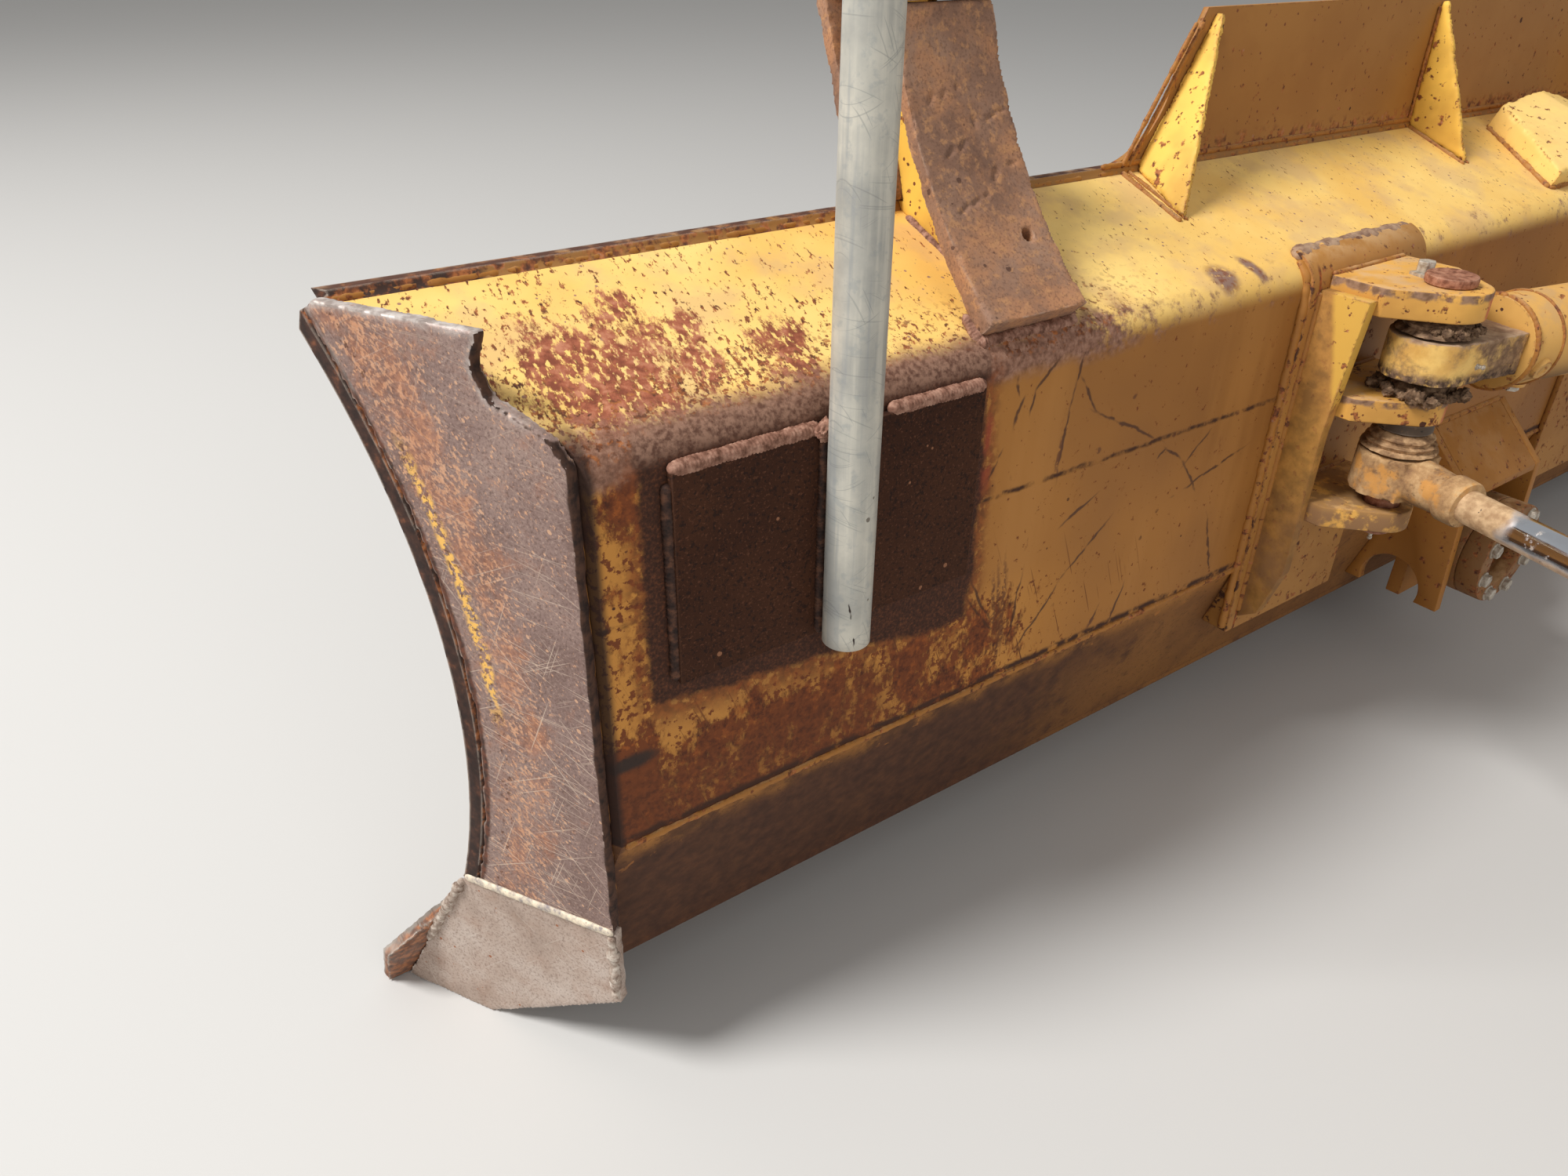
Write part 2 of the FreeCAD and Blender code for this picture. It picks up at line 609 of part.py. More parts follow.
def horn(side, tag):
    t = d.horn_t
    left = side * d.horn_x - d.horn_wide / 2
    crown_in = (d.horn_crown_y, d.horn_crown_z - t)
    neck_in = (d.horn_neck_y + t, d.horn_neck_z)
    back_in = (d.horn_back_y + t * cos(d.horn_lean), d.horn_back_z - t * sin(d.horn_lean))
    heel_in = (d.horn_foot_y + t, d.horn_foot_z - t)
    nose_in = (d.horn_nose_y - t, d.horn_neck_z)
    front_in = (d.horn_front_y - t, d.horn_front_z)
    toe_in = (d.horn_toe_y - t, d.lip_z)
    rear_path = [
        (d.horn_foot_y, d.horn_foot_z), via(d.horn_back_y, d.horn_back_z),
        (d.horn_neck_y, d.horn_neck_z), neck_in, via(*back_in), heel_in]
    front_path = [
        (d.horn_neck_y, d.horn_neck_z), via(d.horn_crown_y, d.horn_crown_z),
        (d.horn_nose_y, d.horn_neck_z), via(d.horn_front_y, d.horn_front_z), (d.horn_toe_y, d.lip_z),
        toe_in, via(*front_in), nose_in, via(*crown_in), neck_in]
    web_path = [
        heel_in, via(*back_in), neck_in, via(*crown_in), nose_in, via(*front_in), toe_in,
        (d.lip_y, d.lip_z), (d.lip_y, d.deck_z)]
    rear = prism(f"horn_rear_blank_{tag}", "YZ_Plane", rear_path, d.horn_wide, left)
    node(f"horn_rear_{tag}", boolean("Cut", f"horn_rear_{tag}", rear, behind_box))
    node(f"horn_front_{tag}", prism(f"horn_front_{tag}", "YZ_Plane", front_path, d.horn_wide, left))
    web = prism(f"horn_web_blank_{tag}", "YZ_Plane", web_path, d.horn_web,
                side * d.horn_x - d.horn_web / 2)
    seated = boolean("Cut", f"horn_web_seated_{tag}", web, behind_box)
    node(f"horn_web_{tag}", boolean("Cut", f"horn_web_{tag}", seated, curved_skin))


# Spill guard on the lip, held by three gussets on the deck.

def spill_guard():
    right = [(d.guard_foot_half, d.lip_z), via(d.guard_sweep_half, d.guard_sweep_z),
             (d.guard_knee_half, d.guard_knee_z), (d.guard_top_half, d.guard_top)]
    left = [(-step[0], *step[1:]) for step in reversed(right)]
    guard = prism("spill_guard", "XZ_Plane", right + left, d.guard_t, -(d.lip_y + d.guard_t))
    node("spill_guard", guard)


def gusset_path(stretch):
    """A gusset in its own plane; heights are stretched along a leaning plate."""
    foot = deck(d.gusset_y)
    top = (d.guard_top - d.gusset_short - foot) / stretch
    under = (deck(d.lip_y) - foot) / stretch
    return [(d.gusset_y, 0), (d.lip_y - d.gusset_tip, top), (d.lip_y, top), (d.lip_y, under)]


def guard_gussets():
    foot = deck(d.gusset_y)
    pieces = []
    for side, tag in ((-1, "l"), (0, "middle"), (1, "r")):
        lean = side * d.gusset_lean
        blank = prism(f"gusset_blank_{tag}", "YZ_Plane", gusset_path(cos(lean)), d.gusset_t,
                      -d.gusset_t / 2)
        place(blank, x=side * d.gusset_x, z=foot, axis=Vector(0, 1, 0), angle=-lean)
        seated = boolean("Cut", f"gusset_seated_{tag}", blank, behind_box)
        pieces.append(boolean("Cut", f"gusset_{tag}", seated, ahead))
    node("guard_gussets", gather("guard_gussets", pieces))


# Raised hood on the deck.

def deck_hood():
    half = d.hood_half_rear
    gable = prism("hood_gable", "XZ_Plane", [
        (-half, 0), (half, 0), (half, d.hood_side), (0, d.hood_ridge), (-half, d.hood_side)],
        2 * PLAN_FRONT, centred=True)
    plan = prism("hood_plan", "XY_Plane", [
        (-half, d.hood_rear), (half, d.hood_rear), (d.hood_half_front, d.hood_front),
        (-d.hood_half_front, d.hood_front)], d.hood_ridge)
    hood = boolean("Common", "deck_hood_flat", gable, plan)
    place(hood, x=d.hood_x, z=d.deck_z, axis=Vector(1, 0, 0), angle=d.deck_slope)
    node("deck_hood", boolean("Cut", "deck_hood", hood, ahead))


# Cylinder brackets: a plate on the wall, three lugs, a side web and the pin.

def bracket_plate(side, tag):
    """The plate that follows the wall over the bend, and down to the sloping lower plate."""
    low, mid, top = bend_points(d.bend + d.plate_t)
    along = (d.plate_lap * cos(d.deck_slope), d.plate_lap * sin(d.deck_slope))
    slide = (d.seam_z - d.plate_foot) / (d.seam_z - d.toe_z)
    path = [(-d.plate_t, d.plate_foot), low, via(*mid), top,
            (top[0] + along[0], top[1] + along[1]), (bend_top[0] + along[0], bend_top[1] + along[1]),
            bend_top, via(*bend_mid), bend_low, (0, d.seam_z), (d.toe_y * slide, d.plate_foot)]
    outer = d.pin_x + d.plate_out
    inner = d.pin_x - d.plate_in
    left = inner if side > 0 else -outer
    node(f"bracket_plate_{tag}",
         prism(f"bracket_plate_{tag}", "YZ_Plane", path, d.plate_out + d.plate_in, left))


def bracket_lugs(side, tag):
    """Each lug runs out square from the plate to its shoulders and then in to its round end."""
    rows = (("high", d.lug_high_z, d.lug_high_t, d.lug_high_r, d.lug_high_turn),
            ("mid", d.lug_mid_z, d.lug_mid_t, d.lug_small_r, d.lug_small_turn),
            ("low", d.lug_low_z, d.lug_low_t, d.lug_small_r, d.lug_small_turn))
    wall = d.pin_back - d.plate_t
    half = d.lug_half
    lugs = []
    for word, low, thick, radius, turn in rows:
        out = radius * cos(turn)
        back = radius * sin(turn)
        path = [(half, wall), (-half, wall), (-half, d.lug_shoulder), (-out, -back), via(0, -radius),
                (out, -back), (half, d.lug_shoulder)]
        lug = prism(f"lug_{word}_{tag}", "XY_Plane", path, thick, low,
                    holes=[(0, 0, d.pin_r + d.run_gap)])
        lugs.append(lug)
    node(f"bracket_lugs_{tag}", gather(f"bracket_lugs_{tag}", lugs), x=side * d.pin_x, y=-d.pin_back)


def bracket_brace(side, tag):
    path = [(-d.plate_t, d.brace_top), (-d.brace_deep, d.brace_top), (-d.brace_waist, d.brace_waist_z),
            (-d.brace_waist, d.brace_knee_z), (-d.brace_shin, d.brace_shin_z),
            (-d.plate_t, d.brace_foot)]
    near = d.pin_x + d.lug_half
    left = near if side > 0 else -near - d.brace_t
    node(f"bracket_brace_{tag}", prism(f"bracket_brace_{tag}", "YZ_Plane", path, d.brace_t, left))


def bracket_pin(side, tag):
    top = d.lug_high_z + d.lug_high_t
    shaft = doc.addObject("Part::Cylinder", f"pin_shaft_{tag}")
    bind(shaft, "Radius", d.pin_r)
    bind(shaft, "Height", top - d.pin_low)
    head = doc.addObject("Part::Cylinder", f"pin_head_{tag}")
    bind(head, "Radius", d.head_r)
    bind(head, "Height", d.head_t)
    place(head, z=top - d.pin_low)
    pin = boolean("Fuse", f"bracket_pin_{tag}", shaft, head)
    node(f"bracket_pin_{tag}", pin, x=side * d.pin_x, y=-d.pin_back, z=d.pin_low)


# Ball socket: cup and cap on a backing plate between two arched cheeks under a roof.

def socket_cheeks():
    path = [(0, d.cheek_top), (-d.cheek_rear_y, d.cheek_rear_z), (-d.cheek_heel_y, d.cheek_heel_z),
            (-d.arch_rear_y, d.cheek_heel_z), via(-d.arch_top_y, d.arch_top_z),
            (d.arch_front_y, d.cheek_heel_z), (lower_face(d.cheek_heel_z), d.cheek_heel_z), (0, d.seam_z)]
    cheeks = []
    for side, tag in SIDES:
        start = d.cheek_x - d.cheek_t if side > 0 else -d.cheek_x
        cheeks.append(prism(f"cheek_{tag}", "YZ_Plane", path, d.cheek_t, start))
    node("socket_cheeks", gather("socket_cheeks", cheeks))


def lower_face(height):
    """How far forward the lower plate's outer face is at a height."""
    return d.toe_y * (d.seam_z - height) / (d.seam_z - d.toe_z)


def socket_inside():
    return d.cheek_x - d.cheek_t


def socket_roof():
    rear_low = d.cheek_rear_z - d.roof_t
    path = [(0, d.cheek_top), (-d.cheek_rear_y, d.cheek_rear_z), (-d.cheek_rear_y, rear_low),
            (0, d.cheek_top - d.roof_t)]
    node("socket_roof", prism("socket_roof", "YZ_Plane", path, 2 * socket_inside(), centred=True))


def socket_backing():
    face = d.backing_face
    front = face - d.backing_t
    fall = (d.cheek_top - d.cheek_rear_z) / d.cheek_rear_y
    path = [(-face, d.backing_low), (-front, d.backing_low),
            (-front, d.cheek_top - d.roof_t - fall * front),
            (-face, d.cheek_top - d.roof_t - fall * face)]
    node("socket_backing", prism("socket_backing", "YZ_Plane", path, 2 * socket_inside(), centred=True))


def socket_cup():
    """Turned about the ball's axis; local X points forward from the ball's centre."""
    face = d.ball_back - d.backing_face
    path = [(d.cup_split, d.ball_r), (d.cup_split, d.cup_r), (face, d.cup_r), (face, 0),
            (d.ball_r, 0), via(d.ball_r * cos(as_size(45)), d.ball_r * sin(as_size(45)))]
    cup = turned("socket_cup", path)
    node("socket_cup", cup, y=-d.ball_back, z=d.ball_high, angle=as_size(90))


def socket_cap():
    half_turn = d.throat_turn / 2
    path = [(-d.cup_split, d.cup_r), (-d.cup_split, d.ball_r),
            via(-d.ball_r * sin(half_turn), d.ball_r * cos(half_turn)),
            (-d.ball_r * sin(d.throat_turn), d.ball_r * cos(d.throat_turn)),
            (-d.cap_deep, d.neck_flare), (-d.cap_deep, d.cup_r)]
    cap = turned("socket_cap", path)
    node("socket_cap", cap, y=-d.ball_back, z=d.ball_high, angle=as_size(90))


# Cylinders, each drawn along its own X axis from its pin.

def swung(name, thing, side, height, aim):
    """Seats a cylinder's piece on its bracket pin, turned to the way the cylinder points."""
    node(name, thing, x=side * d.pin_x, y=-d.pin_back, z=height, angle=aim)


def tube(name, start, long, outer, inner, closed):
    """A barrel closed at its start; negative lengths run it from there back towards its pin."""
    path = [(start, 0), (start, outer), (start + long, outer), (start + long, inner),
            (start + closed, inner), (start + closed, 0)]
    return turned(name, path)


def ring(name, start, long, outer, inner):
    path = [(start, inner), (start, outer), (start + long, outer), (start + long, inner)]
    return turned(name, path)


def bar(name, start, stop, radius):
    return turned(name, [(start, 0), (start, radius), (stop, radius), (stop, 0)])


def flat_eye(name, radius, thick, bore, reach, half):
    """An eye with parallel faces, round about its bore, that ends square at the reach."""
    path = [(reach, half), (0, radius), via(-radius, 0), (0, -radius), (reach, -half)]
    return prism(name, "XY_Plane", path, thick, holes=[(0, 0, bore)], centred=True)


def tilt_cylinder():
    aim = -d.tilt_aim
    side = -1
    eye = flat_eye("tilt_eye", d.tilt_eye_r, d.tilt_eye_t, d.pin_r + d.run_gap, d.tilt_base,
                   d.tilt_root_half)
    swung("tilt_eye", eye, side, d.tilt_z, aim)
    barrel = tube("tilt_barrel", d.tilt_base, d.tilt_long, d.tilt_r, d.tilt_bore, d.tilt_end_t)
    swung("tilt_barrel", barrel, side, d.tilt_z, aim)
    mouth = d.tilt_base + d.tilt_long
    gland = ring("tilt_gland", mouth, d.tilt_gland_long, d.tilt_gland_r, d.tilt_rod_r + d.run_gap)
    swung("tilt_gland", gland, side, d.tilt_z, aim)
    rod = bar("tilt_rod", d.tilt_rod_in, d.tilt_rod_out, d.tilt_rod_r)
    swung("tilt_rod", rod, side, d.tilt_z, aim)
    rod_eye = flat_eye("tilt_rod_eye", d.rod_eye_r, d.rod_eye_t, d.eye_bore,
                       d.tilt_pin - d.tilt_rod_out, d.tilt_rod_r)
    far_x = side * d.pin_x + d.tilt_pin * cos(d.tilt_aim)
    far_y = -d.pin_back - d.tilt_pin * sin(d.tilt_aim)
    node("tilt_rod_eye", rod_eye, x=far_x, y=far_y, z=d.tilt_z, angle=180 - d.tilt_aim)


def angle_cylinder(side, tag):
    aim = side * d.angle_aim - 90
    bore = d.pin_r + d.run_gap
    eye_ring = flat_eye(f"angle_eye_ring_{tag}", d.angle_eye_r, d.angle_eye_t, bore, d.shank_start,
                        d.shank_root_r)
    shank = turned(f"angle_shank_{tag}", [
        (d.shank_start, 0), (d.shank_start, d.shank_root_r), (d.shank_end, d.shank_r),
        (d.shank_end, 0)])
    swung(f"angle_eye_{tag}", boolean("Fuse", f"angle_eye_{tag}", eye_ring, shank), side, d.angle_z, aim)
    rod = bar(f"angle_rod_{tag}", d.shank_end, d.angle_rod_in, d.angle_rod_r)
    swung(f"angle_rod_{tag}", rod, side, d.angle_z, aim)
    gland = ring(f"angle_gland_{tag}", d.angle_gland, d.angle_gland_long, d.angle_gland_r,
                 d.angle_rod_r + d.run_gap)
    swung(f"angle_gland_{tag}", gland, side, d.angle_z, aim)
    mouth = d.angle_gland + d.angle_gland_long
    end = mouth + d.angle_long
    barrel = tube(f"angle_barrel_{tag}", end, -d.angle_long, d.angle_r, d.angle_bore, -d.angle_end_t)
    swung(f"angle_barrel_{tag}", barrel, side, d.angle_z, aim)
    base = flat_eye(f"angle_base_eye_{tag}", d.base_eye_r, d.base_eye_t, d.eye_bore,
                    d.angle_pin - end, d.base_root_half)
    out = sin(d.angle_aim)
    back = cos(d.angle_aim)
    node(f"angle_base_eye_{tag}", base, x=side * (d.pin_x + d.angle_pin * out),
         y=-d.pin_back - d.angle_pin * back, z=d.angle_z, angle=90 + side * d.angle_aim)


def check(document):
    """Stops on any failed object or empty sub-part, before anything is written."""
    broken = [thing.Label for thing in document.Objects
              if {"Invalid", "Error"} & set(thing.State)]
    for piece in nodes:
        if piece.Shape.isNull() or not piece.Shape.isValid() or not piece.Shape.Solids:
            broken.append(piece.Label)
    if broken:
        raise SystemExit("failed objects: " + ", ".join(broken))


def write_parts():
    os.makedirs("parts", exist_ok=True)
    for piece in nodes:
        piece.Shape.exportStep(f"parts/{piece.Label}.step")
    print(len(nodes), "sub-parts written")


moldboard()
cutting_edge()
rear_skin()
lower_plate()
floor_plate()
spill_guard()
guard_gussets()
deck_hood()
for side, tag in SIDES:
    end_bit(side, tag)
    end_plate(side, tag)
    end_wear(side, tag)
    mast_plate(side, tag)
    mast(side, tag)
    horn(side, tag)
    bracket_plate(side, tag)
    bracket_lugs(side, tag)
    bracket_brace(side, tag)
    bracket_pin(side, tag)
    angle_cylinder(side, tag)
socket_cheeks()
socket_roof()
socket_backing()
socket_cup()
socket_cap()
tilt_cylinder()
doc.recompute()
check(doc)
write_parts()
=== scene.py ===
"""Looks of a worn bulldozer blade, in metres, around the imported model."""

import json
import math

import bpy
from mathutils import Matrix, Quaternion, Vector, noise


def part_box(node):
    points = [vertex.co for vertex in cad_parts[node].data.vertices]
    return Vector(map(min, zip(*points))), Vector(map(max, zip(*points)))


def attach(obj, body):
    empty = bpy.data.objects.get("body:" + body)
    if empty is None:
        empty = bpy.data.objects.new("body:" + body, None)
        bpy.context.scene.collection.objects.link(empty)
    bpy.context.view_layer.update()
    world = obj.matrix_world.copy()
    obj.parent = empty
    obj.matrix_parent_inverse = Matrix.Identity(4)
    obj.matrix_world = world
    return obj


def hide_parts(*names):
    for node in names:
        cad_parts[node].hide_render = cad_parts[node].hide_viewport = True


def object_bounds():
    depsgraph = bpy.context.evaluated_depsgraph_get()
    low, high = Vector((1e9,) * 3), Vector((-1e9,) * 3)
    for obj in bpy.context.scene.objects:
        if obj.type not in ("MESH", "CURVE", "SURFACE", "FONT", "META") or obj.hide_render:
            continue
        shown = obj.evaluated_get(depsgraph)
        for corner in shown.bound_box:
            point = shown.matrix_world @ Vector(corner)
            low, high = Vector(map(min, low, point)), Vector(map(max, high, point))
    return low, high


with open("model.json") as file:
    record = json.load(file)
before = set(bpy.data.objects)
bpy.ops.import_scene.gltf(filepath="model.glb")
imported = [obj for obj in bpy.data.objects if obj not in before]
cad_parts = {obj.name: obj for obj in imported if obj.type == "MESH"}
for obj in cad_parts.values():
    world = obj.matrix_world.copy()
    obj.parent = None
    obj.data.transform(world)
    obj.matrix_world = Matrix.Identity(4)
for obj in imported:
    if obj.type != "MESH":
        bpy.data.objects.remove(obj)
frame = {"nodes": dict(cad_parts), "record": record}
cad_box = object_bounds()

GROUND = cad_box[0].z
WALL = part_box("mast_plate_l")[1].y
SIDES = ((-1, "l"), (1, "r"))


def paint_code(red, green, blue):
    """A colour read off a screen, as the shader wants it."""
    return tuple(((part / 255 + 0.055) / 1.055) ** 2.4 for part in (red, green, blue)) + (1,)


# One yellow paint in lit and shaded copies: the two ochres are its painted shade, the deck and fresh yellows
# are its painted sunlight.
SHADED_OCHRE = paint_code(168, 112, 48)
SHADED_OCHRE_DULL = paint_code(146, 96, 44)
SUNLIT_DECK_YELLOW = paint_code(246, 208, 124)
SUNLIT_DECK_WARM = paint_code(234, 186, 98)
SUNLIT_FRESH_YELLOW = paint_code(240, 192, 84)
RUST_BLACK = paint_code(44, 28, 22)
RUST_DARK = paint_code(78, 46, 32)
RUST = paint_code(120, 70, 42)
RUST_ORANGE = paint_code(172, 104, 56)
RUST_DUSTY = paint_code(160, 122, 98)
SCALE_BROWN = paint_code(60, 38, 30)
STEEL_BROWN = paint_code(140, 114, 102)
STEEL_GREY = paint_code(168, 152, 140)
ZINC = paint_code(168, 172, 172)
DUST = paint_code(204, 166, 120)
MUD = paint_code(128, 100, 76)
MUD_DARK = paint_code(62, 46, 37)
GREASE = paint_code(36, 29, 25)

DECK_SLOPE = math.radians(21.8)
DECK_NORMAL = Vector((0, -math.sin(DECK_SLOPE), math.cos(DECK_SLOPE)))
BEND_LOW_Z, BEND_TOP_Z = 0.618, 0.650
SEAM_Z = 0.446
TOE_Z = 0.1325
BURNT_IN, BURNT_OUT, BURNT_LOW_Z = 1.396, 1.903, 0.249
STRIP_IN = 1.894
FLARE = math.radians(30)
FLARE_RUN = Vector((math.sin(FLARE), math.cos(FLARE), 0))
FLARE_NORMAL = Vector((math.cos(FLARE), -math.sin(FLARE), 0))
REARWARD = Vector((0, -1, 0))


class Finish:
    """One material, laid on in coats. Masks run from 0 to 1 and heights are in millimetres."""

    def __init__(self, name, colour, roughness, metallic=0.0):
        self.material = bpy.data.materials.new(name)
        self.material.use_nodes = True
        self.nodes = self.material.node_tree.nodes
        self.links = self.material.node_tree.links
        self.place = self.nodes.new("ShaderNodeTexCoord").outputs["Object"]
        split = self.nodes.new("ShaderNodeSeparateXYZ")
        self.feed(split.inputs[0], self.place)
        self.x, self.y, self.z = split.outputs
        self.side = self.math("ABSOLUTE", self.x)
        mirror = self.nodes.new("ShaderNodeCombineXYZ")
        for socket, value in zip(mirror.inputs, (self.side, self.y, self.z)):
            self.feed(socket, value)
        self.mirrored = mirror.outputs[0]
        self.facing = self.nodes.new("ShaderNodeNewGeometry").outputs["Normal"]
        self.colour = colour
        self.roughness = roughness
        self.metallic = metallic
        self.height = None

    def feed(self, socket, value):
        if isinstance(value, bpy.types.NodeSocket):
            self.links.new(value, socket)
        else:
            socket.default_value = value

    def math(self, kind, first, second=0.0):
        made = self.nodes.new("ShaderNodeMath")
        made.operation = kind
        self.feed(made.inputs[0], first)
        self.feed(made.inputs[1], second)
        return made.outputs[0]

    def plus(self, first, *others):
        for other in others:
            first = self.math("ADD", first, other)
        return first

    def times(self, *masks):
        result = masks[0]
        for mask in masks[1:]:
            result = self.math("MULTIPLY", result, mask)
        return result

    def either(self, *masks):
        result = masks[0]
        for mask in masks[1:]:
            result = self.math("MAXIMUM", result, mask)
        return result

    def without(self, mask, other):
        return self.times(mask, self.math("SUBTRACT", 1.0, other))

    def ramp(self, value, low, high):
        """0 at low and 1 at high, smoothly; low may be the greater."""
        made = self.nodes.new("ShaderNodeMapRange")
        made.interpolation_type = "SMOOTHSTEP"
        self.feed(made.inputs["Value"], value)
        made.inputs["From Min"].default_value = low
        made.inputs["From Max"].default_value = high
        return made.outputs["Result"]

    def haze(self, scale, detail, seed, low, high):
        """Soft clouds, 0 where the noise is below low and 1 above high; low may be the greater."""
        return self.ramp(self.cloud(scale, detail, seed), low, high)

    def faces(self, axis, low, high):
        """0 to 1 as a face turns along an axis."""
        return self.ramp(self.facing_axis(axis), low, high)

    def within(self, value, low, high, soft):
        return self.times(self.ramp(value, low - soft, low + soft),
                          self.ramp(value, high + soft, high - soft))

    def laid(self, run, normal, stretch, seed=0):
        """The place on a face, mirrored about the middle, with its first axis along the run."""
        run, normal = Vector(run).normalized(), Vector(normal).normalized()
        turn = Matrix((run, normal.cross(run), normal)).transposed()
        made = self.nodes.new("ShaderNodeMapping")
        made.vector_type = "TEXTURE"
        self.feed(made.inputs["Vector"], self.mirrored)
        made.inputs["Location"].default_value = (seed * 0.37, seed * 0.53, seed * 0.71)
        made.inputs["Rotation"].default_value = turn.to_euler()
        made.inputs["Scale"].default_value = [1 / part for part in stretch]
        return made.outputs[0]

    def cloud(self, scale, detail=5, seed=0, rough=0.6, over=None):
        """Soft noise; unlaid patterns differ by their scales alone."""
        made = self.nodes.new("ShaderNodeTexNoise")
        self.feed(made.inputs["Vector"], over or self.place)
        made.inputs["Scale"].default_value = scale * (1 + 0.013 * (seed % 7))
        made.inputs["Detail"].default_value = detail
        made.inputs["Roughness"].default_value = rough
        return made.outputs["Fac"]

    def swing(self, scale, amount, seed=0, detail=5):
        """Noise about zero."""
        return self.times(self.math("SUBTRACT", self.cloud(scale, detail, seed), 0.5), amount)

    def ragged(self, value, scale, amount, seed=0, detail=5):
        """A value that wanders, so that a limit set on it isn't straight."""
        return self.plus(value, self.swing(scale, amount, seed, detail))

    def patches(self, spread, scale, detail=6, seed=0, soft=0.03, rough=0.6, over=None):
        """Ragged patches that cover more ground where the spread is nearer to 1."""
        reach = self.plus(self.cloud(scale, detail, seed, rough, over), self.times(spread, 0.3))
        return self.ramp(reach, 0.72 - soft, 0.72 + soft)

    def specks(self, scale, share, seed=0, over=None, flat=False, soft=0.08):
        """Separate specks, round or as drawn out as the place they lie on, in a share of the cells."""
        made = self.nodes.new("ShaderNodeTexVoronoi")
        made.voronoi_dimensions = "2D" if flat else "3D"
        self.feed(made.inputs["Vector"], over or self.place)
        made.inputs["Scale"].default_value = scale * (1 + 0.017 * (seed % 5))
        pick = self.nodes.new("ShaderNodeSeparateColor")
        self.feed(pick.inputs[0], made.outputs["Color"])
        reach = self.times(pick.outputs[1], self.ramp(pick.outputs[0], 1 - share, 1.0), 0.5)
        return self.ramp(self.math("SUBTRACT", reach, made.outputs["Distance"]), 0.0, soft)

    def scores(self, run, normal, share, seed, along=6, across=420):
        """Single fine scratches that run one way over a flat face; along and across are cells a metre."""
        return self.specks(1, share, 0, self.laid(run, normal, (along, across, 1), seed), True, 0.12)

    def strokes(self, lines, width):
        """Single marks, each a thin spindle from one point to another."""
        wobble = self.nodes.new("ShaderNodeTexNoise")
        self.feed(wobble.inputs["Vector"], self.place)
        wobble.inputs["Scale"].default_value = 38
        shift = self.nodes.new("ShaderNodeVectorMath")
        shift.operation = "MULTIPLY_ADD"
        self.feed(shift.inputs[0], wobble.outputs["Color"])
        shift.inputs[1].default_value = (0.012, 0.012, 0.012)
        self.feed(shift.inputs[2], self.place)
        nearest = None
        for start, stop in lines:
            run = Vector(stop) - Vector(start)
            made = self.nodes.new("ShaderNodeMapping")
            made.vector_type = "TEXTURE"
            self.feed(made.inputs["Vector"], shift.outputs[0])
            made.inputs["Location"].default_value = (
                Vector(start) + Vector(stop)) / 2 + Vector((0.006, 0.006, 0.006))
            made.inputs["Rotation"].default_value = run.to_track_quat("X", "Y").to_euler()
            made.inputs["Scale"].default_value = (run.length / 2, width, width)
            reach = self.nodes.new("ShaderNodeVectorMath")
            reach.operation = "LENGTH"
            self.feed(reach.inputs[0], made.outputs[0])
            gap = reach.outputs["Value"]
            nearest = gap if nearest is None else self.math("MINIMUM", nearest, gap)
        return self.ramp(nearest, 1.5, 0.6)

    def edges(self, reach, low=0.03, high=0.12):
        """Outer and inner corners, where paint goes first."""
        bevel = self.nodes.new("ShaderNodeBevel")
        bevel.samples = 4
        bevel.inputs["Radius"].default_value = reach
        made = self.nodes.new("ShaderNodeVectorMath")
        made.operation = "DOT_PRODUCT"
        self.feed(made.inputs[0], bevel.outputs[0])
        self.feed(made.inputs[1], self.facing)
        return self.ramp(self.math("SUBTRACT", 1.0, made.outputs["Value"]), low, high)

    def chipped(self, reach, scale, share, seed=0):
        """Corners with their paint broken away unevenly."""
        return self.times(self.edges(reach, 0.02, 0.10),
                          self.ramp(self.cloud(scale, 6, seed), 0.62 - share, 0.70 - share))

    def facing_axis(self, axis):
        split = self.nodes.new("ShaderNodeSeparateXYZ")
        self.feed(split.inputs[0], self.facing)
        return split.outputs["XYZ".index(axis)]

    def outward(self):
        """1 on faces that look away from the middle of the blade, -1 on those that look towards it."""
        return self.times(self.facing_axis("X"), self.math("SIGN", self.x))

    def tones(self, value, *stops):
        made = self.nodes.new("ShaderNodeValToRGB")
        self.feed(made.inputs[0], value)
        ramp = made.color_ramp
        while len(ramp.elements) < len(stops):
            ramp.elements.new(0.5)
        for element, (where, colour) in zip(ramp.elements, stops):
            element.position = where
            element.color = colour if len(colour) == 4 else paint_code(*colour)
        return made.outputs[0]

    def mottle(self, scale, detail, seed, *stops):
        """Colours that change with clouds, from the lowest to the highest."""
        return self.tones(self.cloud(scale, detail, seed), *stops)

    def rust_tones(self, seed=0, scale=70):
        return self.tones(self.cloud(scale, 6, seed), (0.36, RUST_DARK), (0.48, RUST), (0.60, RUST_ORANGE),
                          (0.70, RUST_DUSTY))

    def blend(self, low, high, mask):
        made = self.nodes.new("ShaderNodeMix")
        self.feed(made.inputs[0], mask)
        self.feed(made.inputs[2], low)
        self.feed(made.inputs[3], high)
        return made.outputs[0]

    def coat(self, mask, colour, roughness=None, metallic=None, height=None):
        """Lays one coat over what is there, where the mask says; several masks count as their product."""
        if isinstance(mask, tuple):
            mask = self.times(*mask)
        made = self.nodes.new("ShaderNodeMix")
        made.data_type = "RGBA"
        self.feed(made.inputs[0], mask)
        self.feed(made.inputs[6], self.colour)
        self.feed(made.inputs[7],
                  paint_code(*colour) if isinstance(colour, tuple) and len(colour) == 3 else colour)
        self.colour = made.outputs[2]
        if roughness is not None:
            self.roughness = self.blend(self.roughness, roughness, mask)
        if metallic is not None:
            self.metallic = self.blend(self.metallic, metallic, mask)
        if height is not None:
            self.raise_by(self.times(mask, height))

    def raise_by(self, height):
        self.height = height if self.height is None else self.plus(self.height, height)

